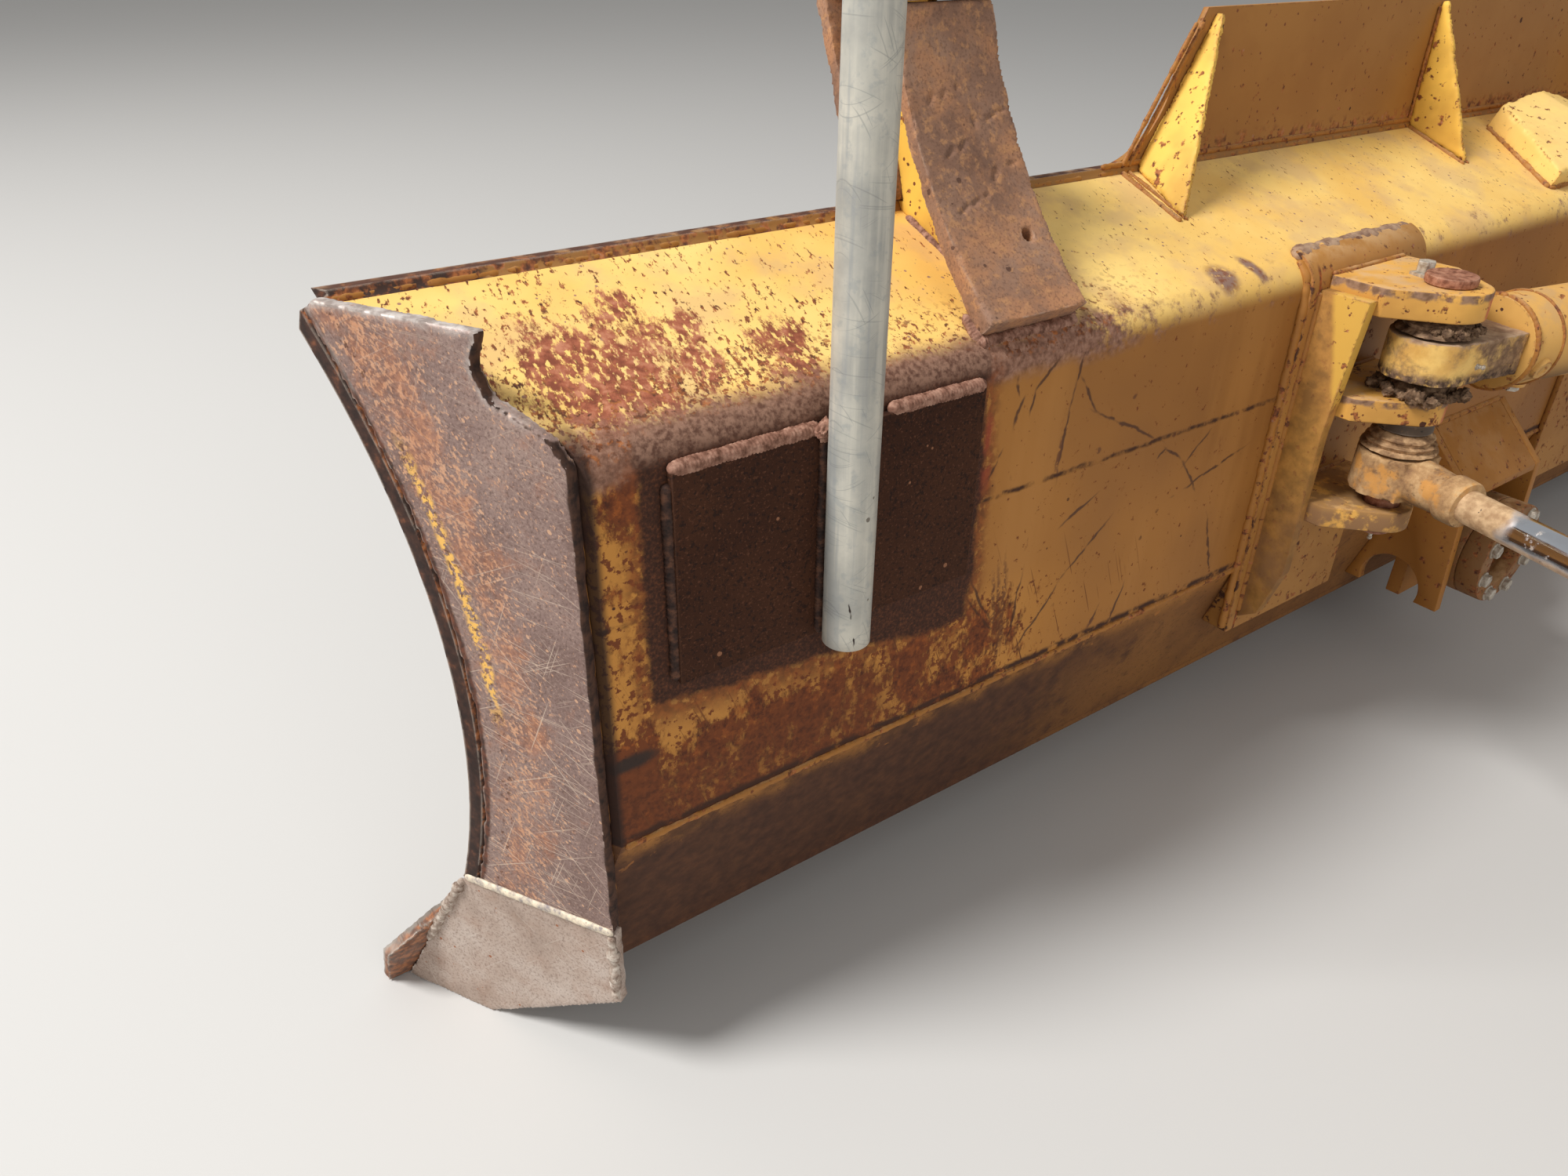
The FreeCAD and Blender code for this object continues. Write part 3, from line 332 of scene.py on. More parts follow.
    def grain(self, scale, detail, seed, height):
        self.raise_by(self.times(self.cloud(scale, detail, seed), height))

    def done(self, gloss=0.3):
        shader = self.nodes["Principled BSDF"]
        self.feed(shader.inputs["Base Color"], self.colour)
        self.feed(shader.inputs["Roughness"], self.roughness)
        self.feed(shader.inputs["Metallic"], self.metallic)
        shader.inputs["Specular IOR Level"].default_value = gloss
        made = self.nodes.new("ShaderNodeBump")
        made.inputs["Distance"].default_value = 0.001
        self.feed(made.inputs["Height"], self.height)
        self.feed(shader.inputs["Normal"], made.outputs[0])
        return self.material


# Single marks from place to place: across and up on the wall; across, forward and up on the deck.
WALL_SCRATCHES = (
    ((-1.195, 0.647), (-1.221, 0.635)), ((-1.221, 0.635), (-1.240, 0.546)),
    ((-1.240, 0.546), (-1.244, 0.446)), ((-1.220, 0.583), (-1.180, 0.527)),
    ((-1.180, 0.527), (-1.026, 0.447)), ((-0.999, 0.426), (-0.951, 0.393)),
    ((-0.951, 0.393), (-0.903, 0.330)), ((-0.999, 0.426), (-1.024, 0.410)),
    ((-0.897, 0.429), (-0.946, 0.387)), ((-0.795, 0.375), (-0.954, 0.333)),
    ((-1.151, 0.390), (-1.217, 0.359)), ((-1.111, 0.336), (-1.200, 0.260)),
    ((-1.200, 0.260), (-1.280, 0.164)), ((-0.848, 0.259), (-0.799, 0.130)),
    ((-1.274, 0.622), (-1.312, 0.587)), ((-1.312, 0.587), (-1.318, 0.553)),
    ((-1.332, 0.583), (-1.346, 0.542)), ((-1.347, 0.615), (-1.342, 0.585)),
    ((-1.364, 0.511), (-1.380, 0.478)), ((-1.289, 0.296), (-1.304, 0.178)),
    ((-1.394, 0.319), (-1.343, 0.237)), ((-1.395, 0.290), (-1.335, 0.212)),
    ((-1.095, 0.178), (-1.116, 0.140)), ((-1.042, 0.195), (-1.064, 0.135)),
    ((1.180, 0.520), (1.050, 0.360)))
DECK_SCUFFS = (
    ((-1.812, 0.350, 0.747), (-1.836, 0.130, 0.659)), ((-1.748, 0.300, 0.727), (-1.806, 0.150, 0.667)),
    ((-1.915, 0.330, 0.739), (-1.905, 0.130, 0.659)), ((-1.632, 0.270, 0.715), (-1.684, 0.140, 0.663)),
    ((1.860, 0.320, 0.735), (1.830, 0.130, 0.659)), ((1.700, 0.290, 0.723), (1.740, 0.140, 0.663)),
    ((1.575, 0.260, 0.711), (1.600, 0.140, 0.663)))
WALL_GOUGES = (
    ((-1.347, 0.311), (-1.334, 0.208)), ((-1.338, 0.321), (-1.324, 0.190)),
    ((-1.327, 0.330), (-1.314, 0.177)), ((-1.320, 0.290), (-1.322, 0.150)),
    ((-1.245, 0.500), (-1.247, 0.450)), ((-0.838, 0.447), (-0.828, 0.444)),
    ((-1.103, 0.533), (-1.097, 0.528)), ((-1.164, 0.466), (-1.157, 0.460)),
    ((-0.990, 0.446), (-0.984, 0.443)), ((-1.100, 0.160), (-1.118, 0.142)),
    ((-0.840, 0.068), (-0.866, 0.052)), ((1.330, 0.300), (1.318, 0.190)),
    ((1.345, 0.330), (1.336, 0.220)))


def on_wall(lines):
    return [((ax, WALL, az), (bx, WALL, bz)) for (ax, az), (bx, bz) in lines]


def deck_coats(f):
    """Sloping deck: the yellow paint made pale as painted sunlight, with small specks, and rust scuffs drawn
    down it near the ends.
    """
    deck = f.ramp(f.z, BEND_LOW_Z, BEND_TOP_Z)
    # Painted sunlight: the deck wears the paint's pale lit copy.
    f.coat(deck, f.mottle(3.4, 4, 2, (0.36, SUNLIT_DECK_WARM), (0.62, SUNLIT_DECK_YELLOW)), 0.55)
    f.coat((deck, f.haze(9, 4, 3, 0.44, 0.64), 0.50), DUST, 0.8)
    swept = f.laid((-0.12, 1, 0.4), DECK_NORMAL, (0.5, 1, 1), 3)
    ends = f.ramp(f.side, 1.10, 1.90)
    rearward = f.ramp(f.y, WALL + 0.25, WALL + 0.06)
    fine = f.plus(0.17, f.times(ends, 0.19), f.times(ends, rearward, 0.24))
    f.coat((deck, f.patches(fine, 150, 4, 5, 0.04, over=swept)), f.rust_tones(4, 120), 0.8, height=-0.12)
    f.coat((deck, f.specks(150, 0.12, 8)), RUST_DUSTY, 0.8)
    scuffed = f.strokes(DECK_SCUFFS, 0.046)
    corner = f.times(f.ramp(f.side, 1.74, 1.94), f.ramp(f.y, WALL + 0.22, WALL + 0.10))
    share = f.plus(0.02, f.times(scuffed, 0.76), f.times(corner, 0.62))
    worn = f.times(deck, f.patches(share, 24, 9, 6, 0.05, 0.74, over=swept))
    f.coat((worn, f.patches(0.92, 120, 5, 7, 0.05, over=swept)),
           f.mottle(60, 5, 7, (0.38, (124, 66, 46)), (0.52, (158, 90, 64)), (0.66, (184, 122, 92))), 0.85)
    return deck


def bend_coats(f):
    """Brown scoured band over the bend from the end to the horn, and one knock further in."""
    height = f.ragged(f.z, 22, 0.030, 8)
    band = f.within(height, 0.614, 0.668, 0.012)
    share = f.plus(0.34, f.times(f.ramp(f.side, 1.02, 1.30), 1.10))
    worn = f.times(band, f.patches(share, 34, 8, 9, 0.09, 0.7))
    band_tones = f.mottle(120, 5, 9, (0.36, (112, 76, 58)), (0.50, (140, 100, 80)), (0.66, (164, 124, 102)))
    f.coat(worn, band_tones, 0.6, height=-0.2)
    edge = f.times(f.within(height, 0.640, 0.690, 0.014), f.ramp(f.side, 0.96, 1.25))
    f.coat((edge, f.patches(0.50, 110, 5, 10, 0.04)), f.rust_tones(11, 90), 0.8)
    knock = f.strokes([((-0.925, WALL + 0.028, 0.664), (-0.880, WALL + 0.030, 0.667)),
                       ((-0.838, WALL + 0.030, 0.667), (-0.815, WALL + 0.035, 0.670))], 0.027)
    f.coat((knock, f.haze(60, 6, 10, 0.32, 0.46)),
           f.mottle(90, 5, 12, (0.40, (128, 78, 54)), (0.55, (140, 110, 96))), 0.6)


def burnt_coats(f, wall):
    """Paint burnt away round each mast plate, with a rusty halo; runs under the plate's welds."""
    ragged = f.swing(11, 0.040, 18, 7)
    fine = f.swing(90, 0.014, 19, 4)
    side = f.plus(f.side, ragged, fine)
    high = f.plus(f.z, f.times(f.side, -0.13), 0.181, ragged, fine)
    across = f.within(side, BURNT_IN, BURNT_OUT, 0.006)
    burnt = f.times(across, f.ramp(high, BURNT_LOW_Z, BURNT_LOW_Z + 0.013), f.ramp(f.z, 0.662, 0.645))
    halo = f.times(f.within(side, BURNT_IN - 0.020, BURNT_OUT + 0.021, 0.014),
                   f.ramp(high, BURNT_LOW_Z - 0.044, BURNT_LOW_Z + 0.001), wall)
    f.coat((halo, f.haze(70, 6, 17, 0.38, 0.50), 0.8),
           f.mottle(80, 5, 18, (0.40, (92, 46, 26)), (0.60, (136, 72, 34))), 0.8)
    f.coat(burnt, f.mottle(240, 4, 19, (0.38, (54, 30, 19)), (0.54, (72, 41, 26)), (0.72, (104, 60, 36))),
           0.8)
    blush = f.times(f.within(f.side, BURNT_IN - 0.016, BURNT_IN, 0.005), f.within(f.z, 0.47, 0.58, 0.03),
                    f.haze(20, 3, 20, 0.4, 0.55))
    f.coat((blush, 0.7), (150, 62, 40), 0.7)
    f.coat((across, f.within(f.z, 0.632, 0.664, 0.010), 0.9),
           f.mottle(150, 5, 21, (0.38, (96, 64, 50)), (0.60, (150, 114, 94))), 0.75)
    return burnt


def wall_coats(f, wall):
    """Wall: ochre, the yellow paint darkened as painted shade, blotched low down and beside the end plates,
    scratched and flecked.
    """
    low = f.ramp(f.z, 0.330, 0.235)
    outer = f.ramp(f.side, 1.10, 1.42)
    strip = f.ramp(f.side, STRIP_IN, STRIP_IN + 0.014)
    f.coat((wall, f.either(f.times(low, outer), strip), 0.8), (198, 136, 58), 0.6)
    spread = f.plus(0.10, f.times(low, outer, 0.80), f.times(strip, 0.34),
                    f.times(strip, f.ramp(f.z, 0.50, 0.60), 0.42))
    drops = f.laid((0, 0, 1), REARWARD, (0.55, 1, 1), 11)
    f.coat((wall, f.patches(spread, 22, 10, 11, 0.06, 0.72, over=drops)),
           f.mottle(90, 6, 12, (0.36, (74, 38, 24)), (0.50, (108, 56, 29)), (0.64, (150, 82, 37))), 0.85,
           height=-0.15)
    f.coat((wall,
            f.patches(f.plus(0.18, f.times(low, outer, 0.42), f.times(strip, 0.36)), 95, 5, 13, 0.03)),
           (116, 62, 32), 0.85)
    stain = f.times(f.ramp(f.ragged(f.z, 9, 0.09, 14), 0.275, 0.190), f.ramp(f.side, 1.32, 1.72))
    f.coat((stain, f.plus(0.55, f.times(f.haze(70, 6, 15, 0.40, 0.60), 0.4))),
           f.mottle(120, 5, 16, (0.40, (86, 46, 26)), (0.60, (116, 62, 32))), 0.8)
    f.coat((wall, f.specks(95, 0.05, 13), f.haze(4, 3, 14, 0.48, 0.6)), RUST_DARK, 0.85)
    scraped = f.times(wall, f.ramp(f.z, 0.42, 0.20), f.ramp(f.side, 0.86, 1.25))
    f.coat((scraped, f.scores((0.4, 0, 1), REARWARD, 0.30, 15, 9, 330)), (106, 60, 32), 0.8)


def seam_coats(f, burnt):
    """Weld seam half way up the wall, the foot's seam, and the black mark by the end plate."""
    line = f.ragged(f.z, 40, 0.008, 22, 3)
    seam = f.without(f.within(line, SEAM_Z - 0.0035, SEAM_Z + 0.0035, 0.0025), burnt)
    f.coat((seam, f.haze(24, 5, 23, 0.40, 0.58)), (70, 42, 26), 0.8, height=-0.5)
    f.raise_by(f.times(f.within(f.z, SEAM_Z - 0.0075, SEAM_Z - 0.0035, 0.004), 0.7))
    toe = f.within(line, TOE_Z - 0.0055, TOE_Z + 0.0055, 0.004)
    f.coat((toe, f.haze(30, 5, 24, 0.34, 0.50)), (66, 40, 28), 0.8, height=-0.4)
    mark = f.strokes([((-1.973, WALL, 0.250), (-1.902, WALL, 0.251))], 0.010)
    f.coat((mark, 0.9), GREASE, 0.6)


def skin_paint():
    """Rear skin: worn deck in painted sunlight, brown bend, ochre wall in painted shade with a burnt patch
    round each mast plate.
    """
    f = Finish("skin_paint", SHADED_OCHRE, 0.55)
    # Base ochre is the yellow paint in painted shade.
    f.colour = f.mottle(1.9, 3, 1, (0.38, SHADED_OCHRE_DULL), (0.62, SHADED_OCHRE))
    f.coat((f.ramp(f.cloud(0.8, 4, 2, over=f.laid((0, 0, 1), REARWARD, (1, 9, 1), 1)), 0.48, 0.66), 0.35),
           (186, 130, 66), 0.6)
    f.grain(120, 3, 0, 0.08)
    deck = deck_coats(f)
    wall = f.math("SUBTRACT", 1.0, deck)
    wall_coats(f, wall)
    bend_coats(f)
    burnt = burnt_coats(f, wall)
    seam_coats(f, burnt)
    f.coat((wall, f.strokes(on_wall(WALL_SCRATCHES), 0.0024), 0.9), (78, 46, 28))
    f.coat((f.strokes(on_wall(WALL_GOUGES), 0.0042), f.haze(110, 4, 25, 0.40, 0.50), 0.85), (100, 58, 32))
    corner = f.times(f.ramp(f.side, 1.948, 1.960), f.ramp(f.z, 0.70, 0.64))
    f.coat((corner, 0.9), RUST_BLACK, 0.8)
    return f.done()


def lower_paint():
    """Lower plate: ochre (the yellow paint in painted shade) by the seam and towards the middle, dark brown
    rust below and outwards.
    """
    f = Finish("lower_paint", SHADED_OCHRE_DULL, 0.7)
    f.grain(90, 4, 0, 0.15)
    f.coat(f.haze(4, 3, 1, 0.4, 0.6), SHADED_OCHRE, 0.6)
    down = f.ramp(f.ragged(f.z, 14, 0.05, 2), 0.118, 0.070)
    outer = f.ramp(f.side, 0.78, 1.35)
    rust = f.mottle(46, 6, 3, (0.34, (66, 42, 31)), (0.52, (80, 51, 36)), (0.70, (94, 60, 40)))
    f.coat((down, f.plus(0.45, f.times(outer, 0.52))), rust, 0.85)
    f.coat((f.patches(f.plus(0.24, f.times(outer, 0.56)), 14, 9, 4, 0.10, 0.68), 0.85), rust, 0.85,
           height=-0.05)
    f.coat((f.patches(0.36, 140, 5, 5, 0.06), 0.5), (70, 44, 30), 0.85)
    f.coat((f.patches(0.20, 30, 7, 6), f.ramp(f.z, 0.04, 0.10)), (168, 108, 50), 0.7)
    f.coat((f.edges(0.004), 0.7), RUST_DARK, 0.8)
    return f.done()


def worn_paint(name, base, spread, chips=0.12, dirt=0.3, seed=0):
    """Yellow paint gone at the edges, flecked with rust and dusted on top."""
    f = Finish(name, base, 0.55)
    f.grain(110, 3, seed, 0.08)
    # Patches of the warmer sunlit copy on the sunlit deck yellow, and otherwise of the dull ochre that is
    # painted shade.
    f.coat((f.haze(5, 4, seed + 1, 0.42, 0.64), 0.45), SUNLIT_DECK_WARM if base == SUNLIT_DECK_YELLOW else SHADED_OCHRE_DULL, 0.6)
    f.coat(f.patches(spread, 60, 7, seed + 2, 0.03), f.rust_tones(seed + 3, 110), 0.85, height=-0.15)
    f.coat(f.specks(150, 0.10, seed + 4), RUST, 0.8, height=-0.15)
    f.coat(f.specks(64, 0.035, seed + 5), RUST_DARK, 0.85, height=-0.2)
    f.coat(f.chipped(0.006, 60, chips, seed + 8), f.rust_tones(seed + 9, 130), 0.7, height=-0.2)
    flat = f.faces("Z", 0.5, 0.95)
    f.coat((flat, f.haze(22, 6, seed + 10, 0.40, 0.62), dirt), DUST, 0.9)
    return f


def plate_paint():
    """Bracket plates: dusty ochre, darkened partly as painted shade, with a rust line down the fold beside
    the web.
    """
    f = worn_paint("bracket_plate_paint", paint_code(176, 124, 62), 0.38, 0.24, 0.6, 14)
    crease = f.times(f.within(f.ragged(f.side, 30, 0.006, 3), 0.699, 0.705, 0.002),
                     f.ramp(f.z, 0.665, 0.650))
    f.coat((crease, f.haze(26, 5, 4, 0.34, 0.46)),
           f.mottle(60, 5, 5, (0.42, (92, 50, 30)), (0.56, (156, 82, 38))), 0.8, height=-0.3)
    edge = f.times(f.ramp(f.side, 0.712, 0.722), f.haze(44, 6, 6, 0.52, 0.58))
    f.coat(edge, (74, 46, 34), 0.8, height=-0.2)
    return f.done()


def web_paint():
    """Bracket webs: bright yellow outer corner as painted sunlight, brown painted shadow towards the wall
    behind the deck bend's shadow line, and painted shade towards the foot.
    """
    f = worn_paint("bracket_web_paint", SUNLIT_FRESH_YELLOW, 0.30, 0.16, 0.3, 31)
    # Painted shadow of the deck's bend: brown on the web where it lies nearer the wall than this slanting
    # line.
    bend_shadow_line = f.plus(f.y, f.times(f.z, -0.273), f.swing(16, 0.012, 2))
    f.coat((f.ramp(bend_shadow_line, -0.090, -0.078), 0.88),
           f.mottle(30, 6, 4, (0.38, (122, 82, 44)), (0.56, (162, 112, 56)), (0.70, (178, 126, 66))), 0.75)
    # Painted shade, browner towards the foot.
    f.coat((f.ramp(f.z, 0.36, 0.10), f.haze(16, 6, 3, 0.34, 0.56), 0.75), (140, 102, 68), 0.85)
    return f.done()


def lug_paint():
    """Bracket lugs: yellow sides with worn brown rims and a red primer patch, dusty on top."""
    f = worn_paint("bracket_lug_paint", paint_code(228, 172, 84), 0.34, 0.22, 0.75, 44)
    primer = f.times(f.within(f.ragged(f.side, 40, 0.030, 2), 0.528, 0.566, 0.006),
                     f.ramp(f.y, -0.050, -0.068))
    f.coat((primer, f.faces("Z", 0.5, 0.1), f.ramp(f.z, 0.25, 0.30), 0.85), (190, 96, 66), 0.7)
    level = f.ragged(f.z, 26, 0.020, 7)
    rim = f.times(f.either(f.within(level, 0.633, 0.652, 0.003), f.within(level, 0.458, 0.474, 0.003)),
                  f.faces("Z", 0.9, 0.6))
    f.coat((rim, f.haze(24, 7, 3, 0.40, 0.50), 0.9),
           f.mottle(60, 5, 8, (0.4, (96, 70, 58)), (0.6, (140, 110, 92))), 0.7, height=-0.3)
    f.coat((f.ramp(f.z, 0.30, 0.26), f.haze(40, 6, 4, 0.36, 0.52)), (150, 112, 76), 0.9)
    f.coat((f.faces("Z", -0.4, -0.8), 0.6), MUD_DARK, 0.9)
    return f.done()


def guard_paint():
    """Spill guard: ochre that is the yellow paint in painted shade, with small dark flecks, rusty along its
    lower edge.
    """
    f = worn_paint("guard_paint", paint_code(160, 110, 52), 0.20, 0.14, 0.2, 27)
    foot = f.ramp(f.ragged(f.z, 24, 0.03, 2), 0.812, 0.786)
    f.coat((foot, f.patches(0.7, 50, 7, 3)), f.rust_tones(4), 0.8)
    return f.done()


def end_steel():
    """End plate: bare grey-brown steel, orange specks, fine scratches, a chipped line and a ground top."""
    f = Finish("end_steel", STEEL_BROWN, 0.6, 0.1)
    f.colour = f.mottle(8, 5, 1, (0.36, (122, 98, 90)), (0.52, (136, 112, 104)), (0.66, (150, 126, 116)))
    f.grain(60, 6, 2, 0.2)
    grain = f.cloud(260, 6, 3, 0.75)
    f.raise_by(f.times(grain, 0.06))
    f.coat((f.ramp(grain, 0.50, 0.36), 0.7), (88, 66, 60), 0.6)
    f.coat((f.ramp(grain, 0.54, 0.68), 0.7), (184, 160, 146), 0.6)
    falling = FLARE_RUN * -0.8 + Vector((0, 0, -1))
    arc = f.math("SUBTRACT", f.y, front_edge(f))
    forward = f.within(f.ragged(arc, 9, 0.03, 22), -0.100, -0.024, 0.030)
    upper = f.ramp(f.z, 0.42, 0.62)
    flecks = f.laid(falling, FLARE_NORMAL, (0.66, 1, 1), 4)
    share = f.plus(0.20, f.times(forward, 0.34), f.times(upper, 0.10))
    f.coat((f.patches(share, 210, 5, 5, 0.05, over=flecks), 0.85), (206, 158, 124), 0.75, 0.0)
    f.coat((f.specks(170, 0.30, 4, over=flecks), 0.8), (206, 162, 130), 0.75, 0.0)
    f.coat((f.patches(f.plus(0.06, f.times(forward, 0.60), f.times(upper, 0.16)), 22, 9, 6, 0.14, 0.7),
            0.5), f.mottle(120, 5, 7, (0.40, (140, 84, 56)), (0.60, (190, 124, 84))), 0.8, 0.0)
    middle = f.ramp(f.z, 0.60, 0.40)
    for seed, slope, share in ((10, 0.62, 0.26), (11, 0.28, 0.30), (12, 1.3, 0.20), (13, -0.5, 0.16),
                               (14, -2.4, 0.14), (15, 0.05, 0.2)):
        mask = f.scores(FLARE_RUN + Vector((0, 0, slope)), FLARE_NORMAL, share, seed, 7 + seed % 3, 560)
        f.coat((mask, f.plus(0.18, f.times(middle, 0.37))), (210, 188, 168), 0.45, 0.2)
    trail = f.within(f.ragged(arc, 34, 0.024, 13), -0.040, -0.026, 0.004)
    chip = f.times(trail, f.haze(120, 6, 14, 0.46, 0.52), f.ramp(f.z, 0.66, 0.58), f.ramp(f.z, 0.26, 0.34))
    f.coat(chip, (232, 180, 92), 0.5, 0.0, 0.2)
    f.coat((trail, f.haze(140, 5, 15, 0.56, 0.62), 0.8), (92, 58, 42), 0.8, 0.0)
    # Painted shade and rust: the groove along the front edge drawn near black, as it lies in shadow.
    gap = f.ramp(f.ragged(arc, 60, 0.008, 15), -0.013, -0.008)
    f.coat((gap, 0.92), f.mottle(90, 6, 16, (0.40, RUST_BLACK), (0.66, (110, 62, 40))), 0.8, 0.0, -0.3)
    f.coat((f.edges(0.005, 0.03, 0.10), f.haze(40, 5, 17, 0.36, 0.50), 0.65), (188, 168, 154), 0.5, 0.2)
    rim = f.times(f.edges(0.016, 0.015, 0.06), f.ramp(f.z, 0.672, 0.700), f.ramp(arc, -0.002, -0.012))
    top = f.either(rim, f.ramp(f.z, 0.7725, 0.7745))
    f.coat((top, f.haze(60, 5, 18, 0.26, 0.44)),
           f.mottle(60, 5, 19, (0.4, (158, 144, 136)), (0.6, (206, 196, 188))), 0.5, 0.3)
    behind = f.times(f.faces("Y", -0.55, -0.70), f.ramp(f.outward(), 0.75, 0.60))
    f.coat(behind, f.mottle(60, 6, 20, (0.38, (44, 30, 25)), (0.62, (86, 58, 44))), 0.8, 0.0)
    inside = f.ramp(f.outward(), -0.66, -0.76)
    # Paint on the inner face over rust, in the ochres that are the paint's painted-shade copy.
    f.coat(inside,
           f.mottle(28, 7, 21, (0.40, RUST_BLACK), (0.52, RUST_DARK), (0.60, SHADED_OCHRE_DULL), (0.68, SHADED_OCHRE)),
           0.8, 0.0)
    return f.done()


def front_edge(f):
    """How far forward an end plate's front edge is at the height of a place."""
    lift = f.plus(f.z, -0.264)
    return f.plus(WALL + 0.155, f.times(f.math("MULTIPLY", lift, lift), 0.485))


def insert_steel():
    """Wear insert: cleaner, finely ground grey steel with a brown bloom."""
    f = Finish("insert_steel", STEEL_GREY, 0.5, 0.2)
    f.colour = f.mottle(9, 6, 1, (0.34, (160, 140, 126)), (0.50, (180, 160, 146)), (0.66, (196, 180, 168)))
    f.grain(70, 5, 2, 0.3)
    f.coat((f.ramp(f.cloud(260, 6, 3, 0.75), 0.52, 0.36), 0.7), (122, 100, 88), 0.6)
    f.coat((f.patches(0.34, 16, 8, 3, 0.16), 0.40), (150, 112, 88), 0.7, 0.05)
    for seed, slope in ((4, 0.8), (5, 0.1), (6, -0.9), (7, 2.6)):
        run = FLARE_RUN + Vector((0, 0, slope))
        f.coat((f.scores(run, FLARE_NORMAL, 0.12, seed, 14, 560), 0.3), (214, 202, 190), 0.45, 0.2)
    f.coat(f.specks(150, 0.10, 6), (150, 96, 66), 0.8, 0.0)
    f.coat((f.edges(0.005, 0.02, 0.08), f.haze(44, 5, 7, 0.36, 0.52), 0.8), (214, 206, 196), 0.35, 0.5)
    return f.done()


def burnt_steel():
    """Mast plates: even, very dark brown mill scale."""
    f = Finish("burnt_steel", SCALE_BROWN, 0.8)
    f.colour = f.mottle(5, 4, 1, (0.36, (55, 31, 20)), (0.62, (68, 40, 25)))
    f.grain(180, 4, 2, 0.12)
    f.coat((f.haze(260, 4, 2, 0.54, 0.70), 0.8), (98, 62, 44), 0.8)
    f.coat((f.haze(200, 4, 3, 0.48, 0.36), 0.8), (36, 23, 19), 0.8)
    f.coat(f.specks(120, 0.04, 5), (140, 96, 70), 0.8)
    f.coat((f.edges(0.003), 0.4), (104, 74, 58), 0.7)
    return f.done(0.15)


def horn_steel():
    """Lifting horns: pitted brown straps with a soft orange bloom and chisel marks."""
    f = Finish("horn_steel", STEEL_BROWN, 0.7)
    f.colour = f.mottle(7, 6, 1, (0.34, (112, 82, 66)), (0.50, (136, 102, 82)), (0.66, (154, 120, 98)))
    f.grain(60, 7, 2, 0.45)
    f.coat((f.patches(0.58, 13, 8, 3, 0.12, 0.68), 0.7), (182, 128, 88), 0.8)
    f.coat((f.patches(0.46, 75, 6, 4, 0.07), 0.6), (186, 136, 92), 0.8, height=0.06)
    f.coat((f.haze(230, 3, 4, 0.50, 0.36), 0.45), (96, 68, 54), 0.8, height=-0.08)
    f.coat((f.specks(85, 0.10, 5), 0.8), (76, 50, 40), 0.8, height=-0.3)
    f.coat((f.edges(0.005, 0.02, 0.10), f.haze(40, 5, 7, 0.44, 0.56), 0.6), (176, 148, 128), 0.6)
    return f.done()


def galvanised():
    """Masts: dull hot-dip zinc, softly mottled, rubbed and finely scored."""
    f = Finish("galvanised", ZINC, 0.5, 0.15)
    f.colour = f.mottle(14, 6, 1, (0.34, (164, 162, 154)), (0.50, (182, 179, 168)), (0.66, (200, 195, 181)))
    f.grain(160, 3, 2, 0.05)
    rubbed = f.cloud(1, 5, 3, over=f.laid((0, 0, 1), REARWARD, (2.5, 60, 60), 2))
    f.coat((f.ramp(rubbed, 0.50, 0.68), 0.55), (212, 206, 190), 0.5)
    f.coat((f.ramp(rubbed, 0.46, 0.34), 0.45), (142, 146, 148), 0.5)
    f.coat((f.patches(0.42, 60, 5, 4, 0.06), 0.4), (146, 150, 150), 0.55)
    for seed, slope in ((5, 0.55), (6, -0.7), (7, 2.4), (8, 0.1)):
        f.coat((f.scores((1, 0, slope), REARWARD, 0.24, seed, 18, 520), 0.38), (124, 126, 124), 0.5)
    f.coat(f.specks(120, 0.05, 8), (120, 112, 100), 0.6)
    f.coat(f.strokes([((-1.664, 0.049, 0.385), (-1.660, 0.048, 0.345)),
                      ((-1.668, 0.052, 0.42), (-1.664, 0.049, 0.392))], 0.0012), RUST_BLACK, 0.8)
    cut = f.ramp(f.z, GROUND + 0.662, GROUND + 0.646)
    f.coat((cut, 0.25), (148, 132, 112), 0.6)
    return f.done(0.5)


